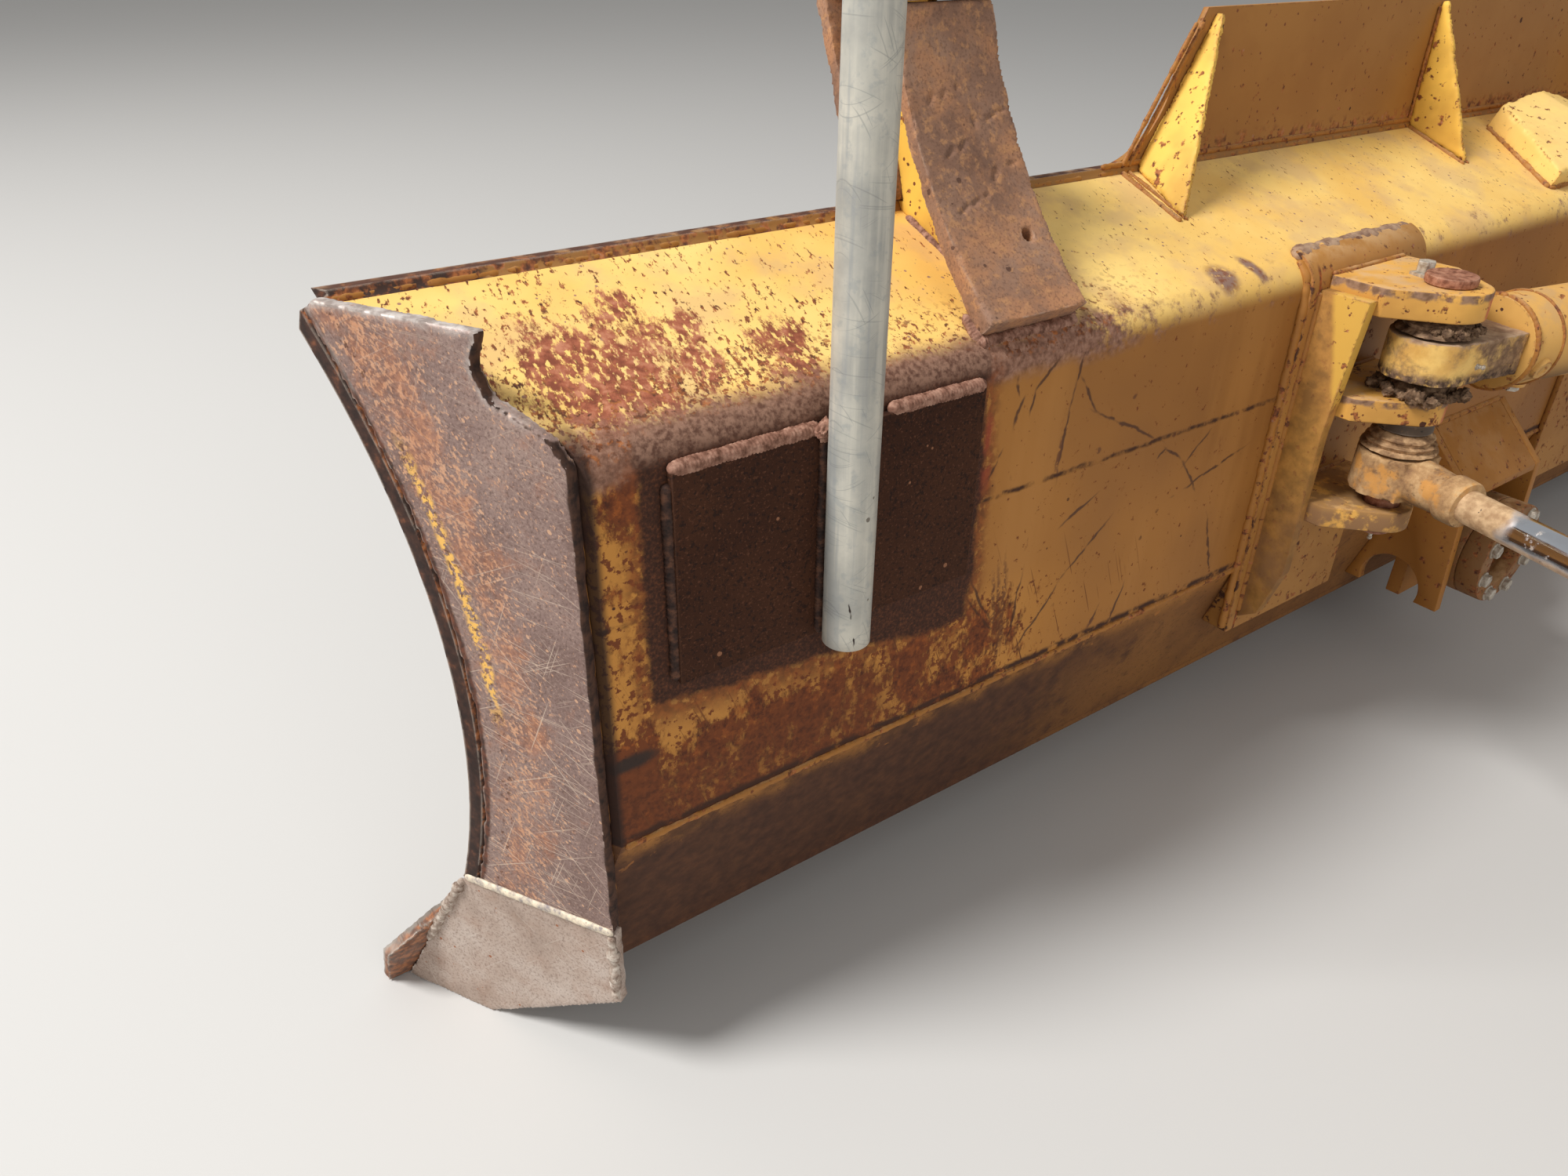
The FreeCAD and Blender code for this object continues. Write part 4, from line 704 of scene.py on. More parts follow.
def moldboard_steel():
    """Moldboard: scoured bright in front, painted and rusty behind and on top; its cut ends rust brown
    darkened as painted shade.
    """
    f = Finish("moldboard_steel", STEEL_BROWN, 0.45, 0.45)
    f.colour = f.mottle(3.0, 6, 1, (0.34, (124, 104, 90)), (0.50, (150, 134, 120)), (0.66, (178, 166, 152)))
    f.grain(46, 5, 2, 0.25)
    swept = f.laid((0, 0, 1), (0, 1, 0), (3, 120, 120), 3)
    f.coat((f.ramp(f.cloud(1, 4, 3, over=swept), 0.50, 0.66), 0.6), (192, 182, 168), 0.35, 0.6)
    for seed, slope in ((4, 3.0), (5, -4.0), (6, 0.4)):
        f.coat((f.scores((1, 0, slope), (0, 1, 0), 0.3, seed, 4, 260), 0.6), (96, 80, 68), 0.5, 0.3, -0.05)
    f.coat((f.patches(f.plus(0.24, f.times(f.ramp(f.z, 0.45, 0.78), 0.40)), 11, 8, 6, 0.10), 0.8),
           f.rust_tones(7, 60), 0.75, 0.0, 0.08)
    # Paint left on top, in the ochre that is the paint's painted-shade copy.
    f.coat((f.ramp(f.z, 0.60, 0.76), f.patches(0.5, 18, 7, 8, 0.03)), SHADED_OCHRE, 0.55, 0.0, 0.12)
    behind = f.faces("Y", 0.2, -0.2)
    f.coat(behind, (150, 104, 50), 0.6, 0.0)
    f.coat((behind, f.ramp(f.side, 1.930, 1.945)), (58, 38, 30), 0.8, 0.0)
    f.coat((behind, f.patches(f.plus(0.40, f.times(f.ramp(f.side, 0.9, 1.5), 0.34)), 34, 8, 9, 0.04)),
           f.rust_tones(10, 90), 0.85, 0.0, -0.15)
    top = f.faces("Z", 0.6, 0.9)
    f.coat((top, f.haze(34, 6, 11, 0.36, 0.56)), RUST_DARK, 0.75, 0.1)
    # Painted shade with rust: the cut ends drawn near black, as if they lay in shade.
    ends = f.ramp(f.outward(), 0.5, 0.8)
    f.coat(ends, f.mottle(60, 7, 12, (0.40, RUST_BLACK), (0.58, (66, 42, 32)), (0.74, (120, 72, 46))), 0.8,
           0.0, -0.3)
    f.coat((f.edges(0.004, 0.02, 0.08), f.haze(30, 4, 13, 0.38, 0.5)), (186, 172, 158), 0.4, 0.4)
    return f.done(0.4)


def edge_steel():
    """Cutting edge and end bits: hard steel polished by soil, brown where it is sheltered."""
    f = Finish("edge_steel", STEEL_GREY, 0.42, 0.5)
    f.colour = f.mottle(8, 5, 1, (0.34, (130, 116, 104)), (0.52, (160, 150, 140)), (0.66, (190, 182, 172)))
    f.grain(50, 6, 2, 0.35)
    for seed, slope in ((3, 3.0), (4, -5.0), (5, 0.5)):
        f.coat((f.scores((1, 0, slope), (0, 1, 0), 0.3, seed, 6, 300), 0.6), (100, 88, 78), 0.5, 0.3, -0.05)
    f.coat((f.patches(0.46, 26, 8, 5, 0.08), 0.7), (136, 96, 70), 0.75, 0.05)
    behind = f.faces("Y", 0.2, -0.2)
    f.coat((behind, 0.8), f.rust_tones(6, 80), 0.8, 0.0, 0.15)
    f.coat((f.edges(0.006, 0.02, 0.10), 0.7), (206, 198, 186), 0.35, 0.5)
    return f.done(0.4)


def pin_steel():
    """Pins and the ball socket: turned steel with a pinkish brown bloom."""
    f = Finish("pin_steel", RUST, 0.65, 0.15)
    f.colour = f.mottle(90, 6, 1, (0.36, (116, 70, 50)), (0.50, (156, 104, 80)), (0.64, (178, 128, 102)))
    f.grain(180, 4, 2, 0.06)
    f.coat((f.patches(0.30, 110, 5, 3, 0.06), 0.5), (104, 68, 52), 0.7, 0.1)
    f.coat((f.edges(0.003), 0.7), (196, 156, 130), 0.5, 0.3)
    return f.done()


def cylinder_paint():
    """Barrels: yellow paint under dust, dirty below, chipped at the rims."""
    f = Finish("cylinder_paint", SUNLIT_FRESH_YELLOW, 0.5)
    f.colour = f.mottle(5, 4, 1, (0.38, (188, 140, 72)), (0.62, (210, 160, 86)))
    f.grain(130, 3, 2, 0.06)
    up = f.faces("Z", 0.1, 0.9)
    f.coat((up, f.haze(26, 6, 3, 0.40, 0.60), 0.6), (184, 148, 104), 0.85)
    f.coat(f.patches(0.26, 48, 7, 4, 0.03), f.rust_tones(5, 110), 0.8, height=-0.12)
    f.coat(f.specks(120, 0.10, 6), RUST_DARK, 0.8, height=-0.15)
    under = f.faces("Z", 0.0, -0.8)
    f.coat((under, f.haze(12, 6, 7, 0.40, 0.58), 0.8), (92, 66, 48), 0.8)
    f.coat(f.chipped(0.006, 60, 0.14, 8), f.rust_tones(9, 120), 0.7)
    return f.done()


def tilt_eye_paint():
    """Tilt cylinder's eye: dusty grey top, chipped yellow face and a dirty belly."""
    f = Finish("tilt_eye_paint", SUNLIT_DECK_YELLOW, 0.55)
    f.colour = f.mottle(20, 5, 1, (0.40, (214, 164, 84)), (0.60, (240, 196, 110)))
    f.grain(60, 6, 1, 0.5)
    face = f.faces("Z", 0.5, -0.1)
    back = f.ramp(f.x, -0.585, -0.520)
    f.coat(f.patches(f.plus(0.46, f.times(back, 0.42)), 19, 8, 2, 0.10, 0.66),
           f.mottle(90, 5, 3, (0.40, (112, 84, 62)), (0.6, (150, 118, 86))), 0.85, height=-0.15)
    f.coat(f.specks(120, 0.06, 3), RUST_DARK, 0.85, height=-0.2)
    f.coat(f.without(f.haze(34, 6, 4, 0.28, 0.44), face),
           f.mottle(45, 6, 5, (0.36, (142, 112, 88)), (0.6, (182, 152, 122))), 0.9, height=0.3)
    f.coat((f.ramp(f.ragged(f.z, 40, 0.02, 6), 0.525, 0.510), f.haze(60, 6, 6, 0.30, 0.50)),
           f.mottle(80, 6, 7, (0.40, (72, 54, 43)), (0.62, (134, 106, 82))), 0.9, height=0.4)
    return f.done()


def cast_eye():
    """Cast eyes under a crust of dried dust."""
    f = Finish("cast_eye", MUD, 0.9)
    f.colour = f.tones(f.cloud(26, 7, 1, 0.7), (0.36, (138, 104, 74)), (0.50, (178, 140, 98)),
                       (0.64, (206, 170, 124)))
    f.grain(70, 7, 2, 0.7)
    f.coat((f.patches(0.44, 24, 7, 3, 0.06), 0.8), (208, 148, 76), 0.7, height=-0.12)
    f.coat((f.patches(0.26, 60, 7, 4, 0.05), 0.7), (110, 84, 64), 0.9, height=-0.25)
    f.coat((f.faces("Z", -0.2, -0.9), 0.6), MUD_DARK, 0.9)
    return f.done(0.15)


def chrome_rod():
    """Rods: hard chrome, dusty near the eye and along the belly, with a few dark marks."""
    f = Finish("chrome_rod", paint_code(216, 220, 226), 0.10, 1.0)
    f.grain(30, 2, 1, 0.02)
    f.coat((f.haze(20, 5, 2, 0.52, 0.66), 0.4), (204, 206, 210), 0.24)
    near = f.ramp(f.ragged(f.y, 22, 0.05, 3), -0.262, -0.232)
    belly = f.ramp(f.ragged(f.facing_axis("Z"), 20, 0.6, 4), -0.20, -0.60)
    dust = f.either(near, f.times(belly, 0.85), f.times(f.patches(0.2, 60, 6, 5, 0.05), 0.6))
    f.coat(dust, f.mottle(60, 5, 4, (0.38, (172, 136, 98)), (0.62, (212, 178, 136))), 0.8, 0.0, 0.1)
    f.coat(f.patches(0.12, 48, 7, 5, 0.02), GREASE, 0.4, 0.0)
    return f.done(0.5)


def gland_steel():
    """Glands and pin sleeves: dark greasy steel, dusted."""
    f = Finish("gland_steel", paint_code(84, 70, 58), 0.55, 0.2)
    f.grain(110, 4, 1, 0.12)
    f.coat((f.patches(0.55, 34, 7, 2, 0.06), 0.8), MUD, 0.85, 0.0, 0.15)
    f.coat(f.patches(0.35, 60, 7, 3, 0.03), GREASE, 0.35, 0.0)
    f.coat((f.edges(0.004), 0.6), (150, 138, 126), 0.5, 0.4)
    return f.done()


def bead_finish(name, dark, middle, light, metallic=0.05):
    """Weld metal, darker in its ripples' grooves."""
    f = Finish(name, paint_code(*middle), 0.7, metallic)
    f.colour = f.mottle(95, 6, 1, (0.34, dark), (0.50, middle), (0.64, light))
    f.grain(260, 4, 2, 0.3)
    f.coat((f.patches(0.30, 120, 5, 3, 0.05), 0.7), dark, 0.8, height=-0.2)
    return f.done()


def border_finish():
    """Thick edge of the bracket plates over the bend: brown-grey, with what is left of the paint."""
    f = Finish("border_paint", paint_code(150, 120, 98), 0.7)
    f.colour = f.mottle(50, 6, 1, (0.36, (124, 94, 76)), (0.60, (172, 142, 116)))
    f.grain(90, 6, 2, 0.7)
    f.coat(f.patches(0.24, 40, 8, 3, 0.03), (222, 170, 90), 0.6, height=0.2)
    f.coat(f.patches(0.34, 70, 7, 4, 0.04), (110, 74, 56), 0.8, height=-0.2)
    return f.done()


def dry_mud(name, dark, middle, light):
    """Mud and dust that dried in crumbs."""
    f = Finish(name, paint_code(*middle), 0.95)
    f.colour = f.mottle(60, 8, 1, (0.34, dark), (0.50, middle), (0.64, light))
    f.grain(140, 8, 2, 1.0)
    f.coat((f.specks(190, 0.3, 3), 0.7), dark, 0.95, height=-0.4)
    return f.done(0.1)


def bolt_steel():
    """Bolts, keepers and nipples: pale zinc plate, rusting."""
    f = Finish("bolt_steel", STEEL_GREY, 0.45, 0.3)
    f.colour = f.mottle(90, 5, 1, (0.36, (150, 134, 116)), (0.6, (200, 192, 178)))
    f.grain(200, 3, 2, 0.08)
    f.coat((f.patches(0.34, 80, 6, 3, 0.05), 0.8), RUST, 0.8, 0.0)
    return f.done(0.4)


FINISHES = {
    "skin": skin_paint(),
    "lower": lower_paint(),
    # The plain and bead paints are the yellow paint in painted shade; the bright and hood paints are the
    # same paint in painted sunlight.
    "plain": worn_paint("structure_paint", SHADED_OCHRE, 0.30, seed=1).done(),
    "casting": worn_paint("casting_paint", paint_code(134, 96, 58), 0.50, 0.2, 0.5, 66).done(),
    "plate": plate_paint(),
    "web": web_paint(),
    "lug": lug_paint(),
    "guard": guard_paint(),
    "bright": worn_paint("bright_paint", SUNLIT_FRESH_YELLOW, 0.34, 0.20, 0.2, 40).done(),
    "hood": worn_paint("hood_paint", SUNLIT_DECK_YELLOW, 0.28, 0.16, 0.2, 40).done(),
    "end": end_steel(),
    "insert": insert_steel(),
    "burnt": burnt_steel(),
    "horn": horn_steel(),
    "zinc": galvanised(),
    "moldboard": moldboard_steel(),
    "edge": edge_steel(),
    "pin": pin_steel(),
    "barrel": cylinder_paint(),
    "tilt_eye": tilt_eye_paint(),
    "eye": cast_eye(),
    "chrome": chrome_rod(),
    "gland": gland_steel(),
    "pink_bead": bead_finish("pink_bead", (92, 58, 42), (138, 98, 80), (170, 130, 110)),
    "dark_bead": bead_finish("dark_bead", (36, 23, 19), (62, 40, 31), (98, 64, 46)),
    "grey_bead": bead_finish("grey_bead", (116, 94, 80), (168, 150, 136), (206, 194, 180), 0.2),
    "pale_bead": bead_finish("pale_bead", (150, 140, 138), (206, 192, 172), (236, 220, 194), 0.2),
    "paint_bead": worn_paint("bead_paint", SHADED_OCHRE, 0.50, 0.2, 0.4, 53).done(),
    "border": border_finish(),
    "mud": dry_mud("dry_mud", (72, 55, 44), (112, 88, 68), (152, 124, 98)),
    "dust_crust": dry_mud("dust_crust", (112, 84, 62), (160, 126, 92), (196, 160, 120)),
    "bolt": bolt_steel(),
}

# Which finish each CAD node wears; pieces that replace a node wear the same.
NODE_FINISH = {
    "rear_skin": "skin", "lower_plate": "lower", "floor_plate": "lower", "moldboard": "moldboard",
    "cutting_edge": "edge", "spill_guard": "guard", "guard_gussets": "bright", "deck_hood": "hood",
    "socket_cheeks": "plain", "socket_roof": "plain", "socket_backing": "plain", "socket_cup": "casting",
    "socket_cap": "casting", "tilt_eye": "tilt_eye", "tilt_barrel": "barrel", "tilt_gland": "gland",
    "tilt_rod": "chrome", "tilt_rod_eye": "eye"}
for _, tag in SIDES:
    NODE_FINISH.update({
        f"end_bit_{tag}": "edge", f"end_plate_{tag}": "end", f"end_wear_{tag}": "insert",
        f"mast_plate_{tag}": "burnt", f"mast_{tag}": "zinc", f"horn_rear_{tag}": "horn",
        f"horn_front_{tag}": "horn", f"horn_web_{tag}": "bright", f"bracket_plate_{tag}": "plate",
        f"bracket_lugs_{tag}": "lug", f"bracket_brace_{tag}": "web", f"bracket_pin_{tag}": "pin",
        f"angle_eye_{tag}": "eye", f"angle_rod_{tag}": "chrome", f"angle_gland_{tag}": "gland",
        f"angle_barrel_{tag}": "barrel", f"angle_base_eye_{tag}": "eye"})


def wear(piece, finish):
    piece.data.materials.clear()
    piece.data.materials.append(FINISHES[finish])


for node_name, finish in NODE_FINISH.items():
    wear(frame["nodes"][node_name], finish)


# Pieces.

BODY_OF = {node: body for body,
           members in frame["record"]["behaviour"]["bodies"].items() for node in members}


def alone(piece):
    bpy.ops.object.select_all(action="DESELECT")
    piece.select_set(True)
    bpy.context.view_layer.objects.active = piece


def change(piece, kind, **settings):
    """Adds one modifier, sets it and applies it."""
    alone(piece)
    made = piece.modifiers.new(kind.lower(), kind)
    for name, value in settings.items():
        setattr(made, name, value)
    bpy.ops.object.modifier_apply(modifier=made.name)


def joined(pieces):
    bpy.ops.object.select_all(action="DESELECT")
    for piece in pieces:
        piece.select_set(True)
    bpy.context.view_layer.objects.active = pieces[0]
    bpy.ops.object.join()
    return pieces[0]


def seat(piece, name, finish, body="blade", smooth=35):
    """Names a finished piece, puts its place in its mesh and sets it on its body."""
    piece.name = piece.data.name = name
    alone(piece)
    bpy.ops.object.transform_apply(location=True, rotation=True, scale=True)
    bpy.ops.object.shade_smooth_by_angle(angle=math.radians(smooth))
    wear(piece, finish)
    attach(piece, body)
    return piece


def weld(pieces, name, finish="paint_bead", body="blade"):
    return seat(joined(pieces), name, finish, body, 60)


def merged(node_name):
    """A copy of a CAD node with its loose triangles joined and its flat faces whole."""
    piece = bpy.data.objects.new(node_name + "_copy", frame["nodes"][node_name].data.copy())
    bpy.context.scene.collection.objects.link(piece)
    alone(piece)
    bpy.ops.mesh.customdata_custom_splitnormals_clear()
    bpy.ops.object.mode_set(mode="EDIT")
    bpy.ops.mesh.select_all(action="SELECT")
    bpy.ops.mesh.remove_doubles(threshold=0.00002)
    bpy.ops.mesh.dissolve_limited(angle_limit=math.radians(0.6))
    bpy.ops.object.mode_set(mode="OBJECT")
    return piece


def stand_in(piece, node_name, smooth=35):
    """Puts a piece in a CAD node's place, with its body and finish."""
    seat(piece, node_name + "_worn", NODE_FINISH[node_name], BODY_OF[node_name], smooth)
    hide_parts(node_name)
    return piece


def rounded(node_name, width, segments=2):
    """The CAD node with its corners broken."""
    piece = merged(node_name)
    change(piece, "BEVEL", width=width, segments=segments, limit_method="ANGLE",
           angle_limit=math.radians(32))
    return stand_in(piece, node_name)


def corner_share(mesh):
    """For each vertex, how much the surface turns there, from 0 to 1."""
    turns = [0.0] * len(mesh.vertices)
    for edge in mesh.edges:
        a, b = edge.vertices
        turn = 1 - mesh.vertices[a].normal.dot(mesh.vertices[b].normal)
        turns[a] = max(turns[a], turn)
        turns[b] = max(turns[b], turn)
    return [min(1.0, turn * 4) for turn in turns]


def weather(piece, wave, chip, seed, gouges=()):
    """Dents a dense mesh inwards, knocks its corners off unevenly and chisels the gouges in."""
    mesh = piece.data
    turns = corner_share(mesh)
    shift = Vector((seed * 1.7, seed * 2.3, seed * 3.1))
    moves = []
    for vertex, turn in zip(mesh.vertices, turns):
        spot = vertex.co + shift
        dent = (noise.noise(spot * 14) - 1) * wave + (noise.noise(spot * 75) - 1) * wave * 0.4
        knock = turn * chip * (max(0.0, noise.noise(spot * 38) + 0.1)
                               + 0.4 * max(0.0, noise.noise(spot * 130)))
        cut = 0.0
        for start, run, reach, deep in gouges:
            along = max(0.0, min(1.0, (vertex.co - start).dot(run) / run.length_squared))
            gap = (vertex.co - start - run * along).length / reach
            if gap < 1:
                cut = max(cut, deep * (1 - gap * gap))
        moves.append(vertex.normal * (dent - knock - cut))
    for vertex, move in zip(mesh.vertices, moves):
        vertex.co += move


def rough(node_name, voxel, wave, chip, seed, gouges=(), holes=()):
    """The CAD node remeshed densely, with its holes bored, and weathered."""
    piece = merged(node_name)
    for place, along, radius in holes:
        bpy.ops.mesh.primitive_cylinder_add(vertices=20, radius=radius, depth=0.12, location=place)
        drill = bpy.context.object
        drill.rotation_euler = Vector(along).to_track_quat("Z", "X").to_euler()
        change(piece, "BOOLEAN", operation="DIFFERENCE", object=drill, solver="EXACT")
        bpy.data.objects.remove(drill)
    change(piece, "REMESH", mode="VOXEL", voxel_size=voxel)
    weather(piece, wave, chip, seed, gouges)
    return stand_in(piece, node_name, 50)


def turned(at, along, profile, segments=32):
    """A turned piece, drawn out ring by ring; the profile lists (distance, radius) along its axis."""
    start, radius = profile[0]
    bpy.ops.mesh.primitive_circle_add(vertices=segments, radius=radius, fill_type="NGON",
                                      location=(0, 0, start))
    piece = bpy.context.object
    bpy.ops.object.transform_apply(location=True)
    bpy.ops.object.mode_set(mode="EDIT")
    for (before, old), (after, new) in zip(profile, profile[1:]):
        bpy.ops.mesh.extrude_region_move(TRANSFORM_OT_translate={"value": (0, 0, after - before)})
        bpy.ops.transform.resize(value=(new / old, new / old, 1), center_override=(0, 0, after))
    bpy.ops.mesh.select_all(action="SELECT")
    bpy.ops.mesh.normals_make_consistent(inside=False)
    bpy.ops.object.mode_set(mode="OBJECT")
    piece.rotation_euler = Vector(along).to_track_quat("Z", "X").to_euler()
    piece.location = at
    bpy.ops.object.transform_apply(location=True, rotation=True)
    return piece


def lumpy(piece, grain, deep, levels=2):
    """Divides a piece and swells it unevenly, coarsely and then finely."""
    change(piece, "TRIANGULATE")
    change(piece, "SUBSURF", subdivision_type="SIMPLE", levels=levels, render_levels=levels)
    for size, strength in ((grain, deep), (grain * 0.34, deep * 0.5)):
        clouds = bpy.data.textures.new("lumps", "CLOUDS")
        clouds.noise_scale = size
        clouds.noise_depth = 3
        change(piece, "DISPLACE", texture=clouds, strength=strength, mid_level=0.5, texture_coords="LOCAL")
    return piece


def along_path(points, share):
    """The place and direction at a share of a path's length."""
    runs = [b - a for a, b in zip(points, points[1:])]
    total = sum(run.length for run in runs)
    left = share * total
    for start, run in zip(points, runs):
        if left <= run.length or run is runs[-1]:
            return start + run * min(1.0, left / run.length), run.normalized()
        left -= run.length


def bead(points, radius, up=(0, 0, 1), pitch=0.0048, depth=0.16, flat=0.8, lump=0.14, seed=0, segments=10):
    """A weld bead: a closed tube along the points, swollen in overlapping ripples."""
    points = [Vector(point) for point in points]
    total = sum((b - a).length for a, b in zip(points, points[1:]))
    rings = max(8, int(total / pitch * 4))
    bpy.ops.mesh.primitive_uv_sphere_add(segments=segments, ring_count=rings, radius=1)
    piece = bpy.context.object
    shift = Vector((seed * 1.9, seed * 2.9, seed * 0.7))
    spine = {}
    for vertex in piece.data.vertices:
        share = math.acos(max(-1.0, min(1.0, vertex.co.z))) / math.pi
        row = round(share * rings)
        if row not in spine:
            place, run = along_path(points, share)
            side = run.cross(Vector(up)).normalized()
            spine[row] = (place, side, side.cross(run).normalized())
        place, side, lift = spine[row]
        angle = math.atan2(vertex.co.y, vertex.co.x)
        from_end = min(share, 1 - share) * total
        close = min(1.0, from_end / (radius * 1.2))
        ripple = abs(math.sin(math.pi * (share * total / pitch + 0.45 * math.cos(angle) ** 2)))
        size = radius * math.sqrt(1 - (1 - close) ** 2) * (1 - depth + depth * math.sqrt(ripple))
        size *= 1 + lump * noise.noise(place * 85 + shift) + lump * 0.6 * noise.noise(place * 30 - shift)
        vertex.co = place + side * (math.cos(angle) * size) + lift * (math.sin(angle) * size * flat)
    alone(piece)
    bpy.ops.object.mode_set(mode="EDIT")
    bpy.ops.mesh.select_all(action="SELECT")
    bpy.ops.mesh.remove_doubles(threshold=0.000001)
    bpy.ops.mesh.normals_make_consistent(inside=False)
    bpy.ops.object.mode_set(mode="OBJECT")
    return piece


def clod(at, size, squash=0.7):
    """One lump of dried mud."""
    bpy.ops.mesh.primitive_ico_sphere_add(subdivisions=3, radius=size, location=at)
    piece = bpy.context.object
    bpy.ops.transform.resize(value=(1, 1, squash))
    bpy.ops.object.transform_apply(location=True, rotation=True, scale=True)
    return lumpy(piece, size * 1.1, size * 1.5, 1)


def ring_path(centre, along, radius, steps=40):
    """Places round an axis, closed."""
    turn = along.to_track_quat("Z", "X")
    angles = [step * math.tau / steps for step in range(steps + 1)]
    return [centre + turn @ Vector((radius * math.cos(angle), radius * math.sin(angle), 0))
            for angle in angles]


def hexagon(at, along, across, tall, chamfer=0.0012):
    """A bolt's head or a nut, standing from its seat."""
    way = Vector(along).normalized()
    bpy.ops.mesh.primitive_cylinder_add(vertices=6, radius=across / math.sqrt(3), depth=tall,
                                        location=Vector(at) + way * tall / 2)
    piece = bpy.context.object
    piece.rotation_euler = way.to_track_quat("Z", "X").to_euler()
    change(piece, "BEVEL", width=chamfer, segments=2, limit_method="ANGLE")
    alone(piece)
    bpy.ops.object.transform_apply(location=True, rotation=True, scale=True)
    return piece


# Lines of the blade that the welds and fittings follow.
UP = (0, 0, 1)
BACK = (0, -1, 0)
DECK_CORNER_Z = 0.655
PLATE_LOW, PLATE_TOP = (corner.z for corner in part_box("mast_plate_l"))
PLATE_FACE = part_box("mast_plate_l")[0].y
LIP_Y = WALL + 0.2845
GUARD_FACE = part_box("spill_guard")[0].y - 0.0025
MAST_X = 1.65
HORN_X = 1.315
HORN_HALF = 0.0865
GUSSET_X = 0.850
HOOD_X = 0.355
PIN_X, PIN_Y = 0.572, -0.022
TILT_PIN_Z = 0.535
ANGLE_PIN_Z = 0.336
END_FACE = 1.980
INSERT_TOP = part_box("end_wear_l")[1].z
INSERT_FRONT = 0.2464
INSERT_LEAN = 0.5592
EDGE_LEAN = math.radians(25.84)
EDGE_BOLT_UP = 0.165


def deck_z(y):
    return DECK_CORNER_Z + (y - WALL) * math.tan(DECK_SLOPE)


def end_point(side, forward, z):
    """A place on an end plate's outer face, measured forward along the plate."""
    place = Vector((END_FACE, WALL, z)) + FLARE_RUN * forward
    return Vector((side * place.x, place.y, place.z))


def insert_front(side, z, inset=0.0):
    return end_point(side, INSERT_FRONT + (INSERT_TOP - z) * INSERT_LEAN - inset, z)


def horn_gouges(side):
    """Chisel marks on the rear strap, in two loose rows."""
    marks = []
    for row in range(15):
        x = side * HORN_X - 0.052 + 0.021 * (row % 6) + 0.004 * (row % 4)
        high = 0.80 + 0.030 * (row // 3) + 0.007 * (row % 3)
        y = -0.315 + math.sqrt(max(0.0, 0.6918 ** 2 - (high - 1.2259) ** 2))
        lean = Vector((0.016 - 0.004 * (row % 5), 0.004, 0.009 - 0.005 * (row % 3)))
        marks.append((Vector((x, y, high)), lean, 0.0042, 0.0026))
    return marks


def worn_plates():
    """Plates and castings with broken corners; those that show most are dented and chipped too."""
    for side, tag in SIDES:
        rough(f"end_plate_{tag}", 0.0040, 0.0004, 0.0025, 3 + side)
        rough(f"end_wear_{tag}", 0.0036, 0.0005, 0.003, 6 + side)
        rough(f"end_bit_{tag}", 0.0045, 0.0008, 0.007, 9 + side)
        hole = [((-1.271, 0.203, 0.768), (0, -0.75, 0.66), 0.009)] if side < 0 else []
        rough(f"horn_rear_{tag}", 0.0034, 0.0007, 0.006, 12 + side, horn_gouges(side), hole)
        rough(f"horn_front_{tag}", 0.0045, 0.0007, 0.005, 15 + side)
        for name, width, segments in (
            ("horn_web", 0.002, 2), ("mast_plate", 0.0018, 2), ("mast", 0.0008, 1),
            ("bracket_plate", 0.003, 2), ("bracket_lugs", 0.005, 3), ("bracket_brace", 0.003, 2),
            ("angle_gland", 0.002, 2), ("angle_base_eye", 0.006, 3), ("angle_barrel", 0.002, 2)):
            rounded(f"{name}_{tag}", width, segments)
    rough("guard_gussets", 0.0036, 0.0005, 0.006, 21)
    rough("deck_hood", 0.0045, 0.0006, 0.006, 22)
    for name, width, segments in (
            ("spill_guard", 0.0025, 2), ("cutting_edge", 0.004, 2), ("moldboard", 0.003, 2),
            ("socket_cheeks", 0.0025, 2), ("socket_roof", 0.0025, 2), ("socket_backing", 0.0025, 2),
            ("tilt_gland", 0.0025, 2), ("tilt_barrel", 0.0025, 2), ("socket_cup", 0.004, 2),
            ("socket_cap", 0.004, 2), ("tilt_rod_eye", 0.006, 3)):
        rounded(name, width, segments)
    rough("tilt_eye", 0.0028, 0.0008, 0.004, 31)
    for side, tag in SIDES:
        rough(f"angle_eye_{tag}", 0.0030, 0.0010, 0.005, 32 + side)


def mast_welds():
    z_top = PLATE_TOP + 0.003
    y = PLATE_FACE + 0.006
    foot = PLATE_LOW + 0.004
    root = PLATE_FACE - 0.002
    for side, tag in SIDES:
        pieces = []
        for outer, inner, rise, seed in ((1.872, 1.672, 0.002, 1), (1.571, 1.412, -0.001, 4)):
            line = [(side * outer, y, z_top), (side * inner, y, z_top + rise)]
            pieces.append(bead(line, 0.0095, up=(0, -1, 0.6), seed=seed + side))
        weld(pieces, f"mast_plate_top_weld_{tag}", "pink_bead")
        pieces = [
            bead([(side * 1.871, y + 0.003, foot), (side * 1.872, y + 0.003, z_top - 0.016)], 0.0085,
                 up=BACK, pitch=0.006, seed=7 + side),
            bead([(side * 1.414, y + 0.004, foot), (side * 1.414, y + 0.004, z_top - 0.012)], 0.0065,
                 up=BACK, pitch=0.007, seed=10 + side)]
        for across in (-1, 1):
            x = side * MAST_X + across * 0.0205
            line = [(x, root, PLATE_LOW + 0.002), (x, root, z_top - 0.008)]
            pieces.append(bead(line, 0.0075, up=BACK, seed=13 + across))
        weld(pieces, f"mast_plate_side_weld_{tag}", "dark_bead")
        blob = clod((side * 1.673, PLATE_FACE - 0.006, z_top + 0.001), 0.0105, 1.2)
        seat(blob, f"mast_weld_end_{tag}", "pink_bead", smooth=60)


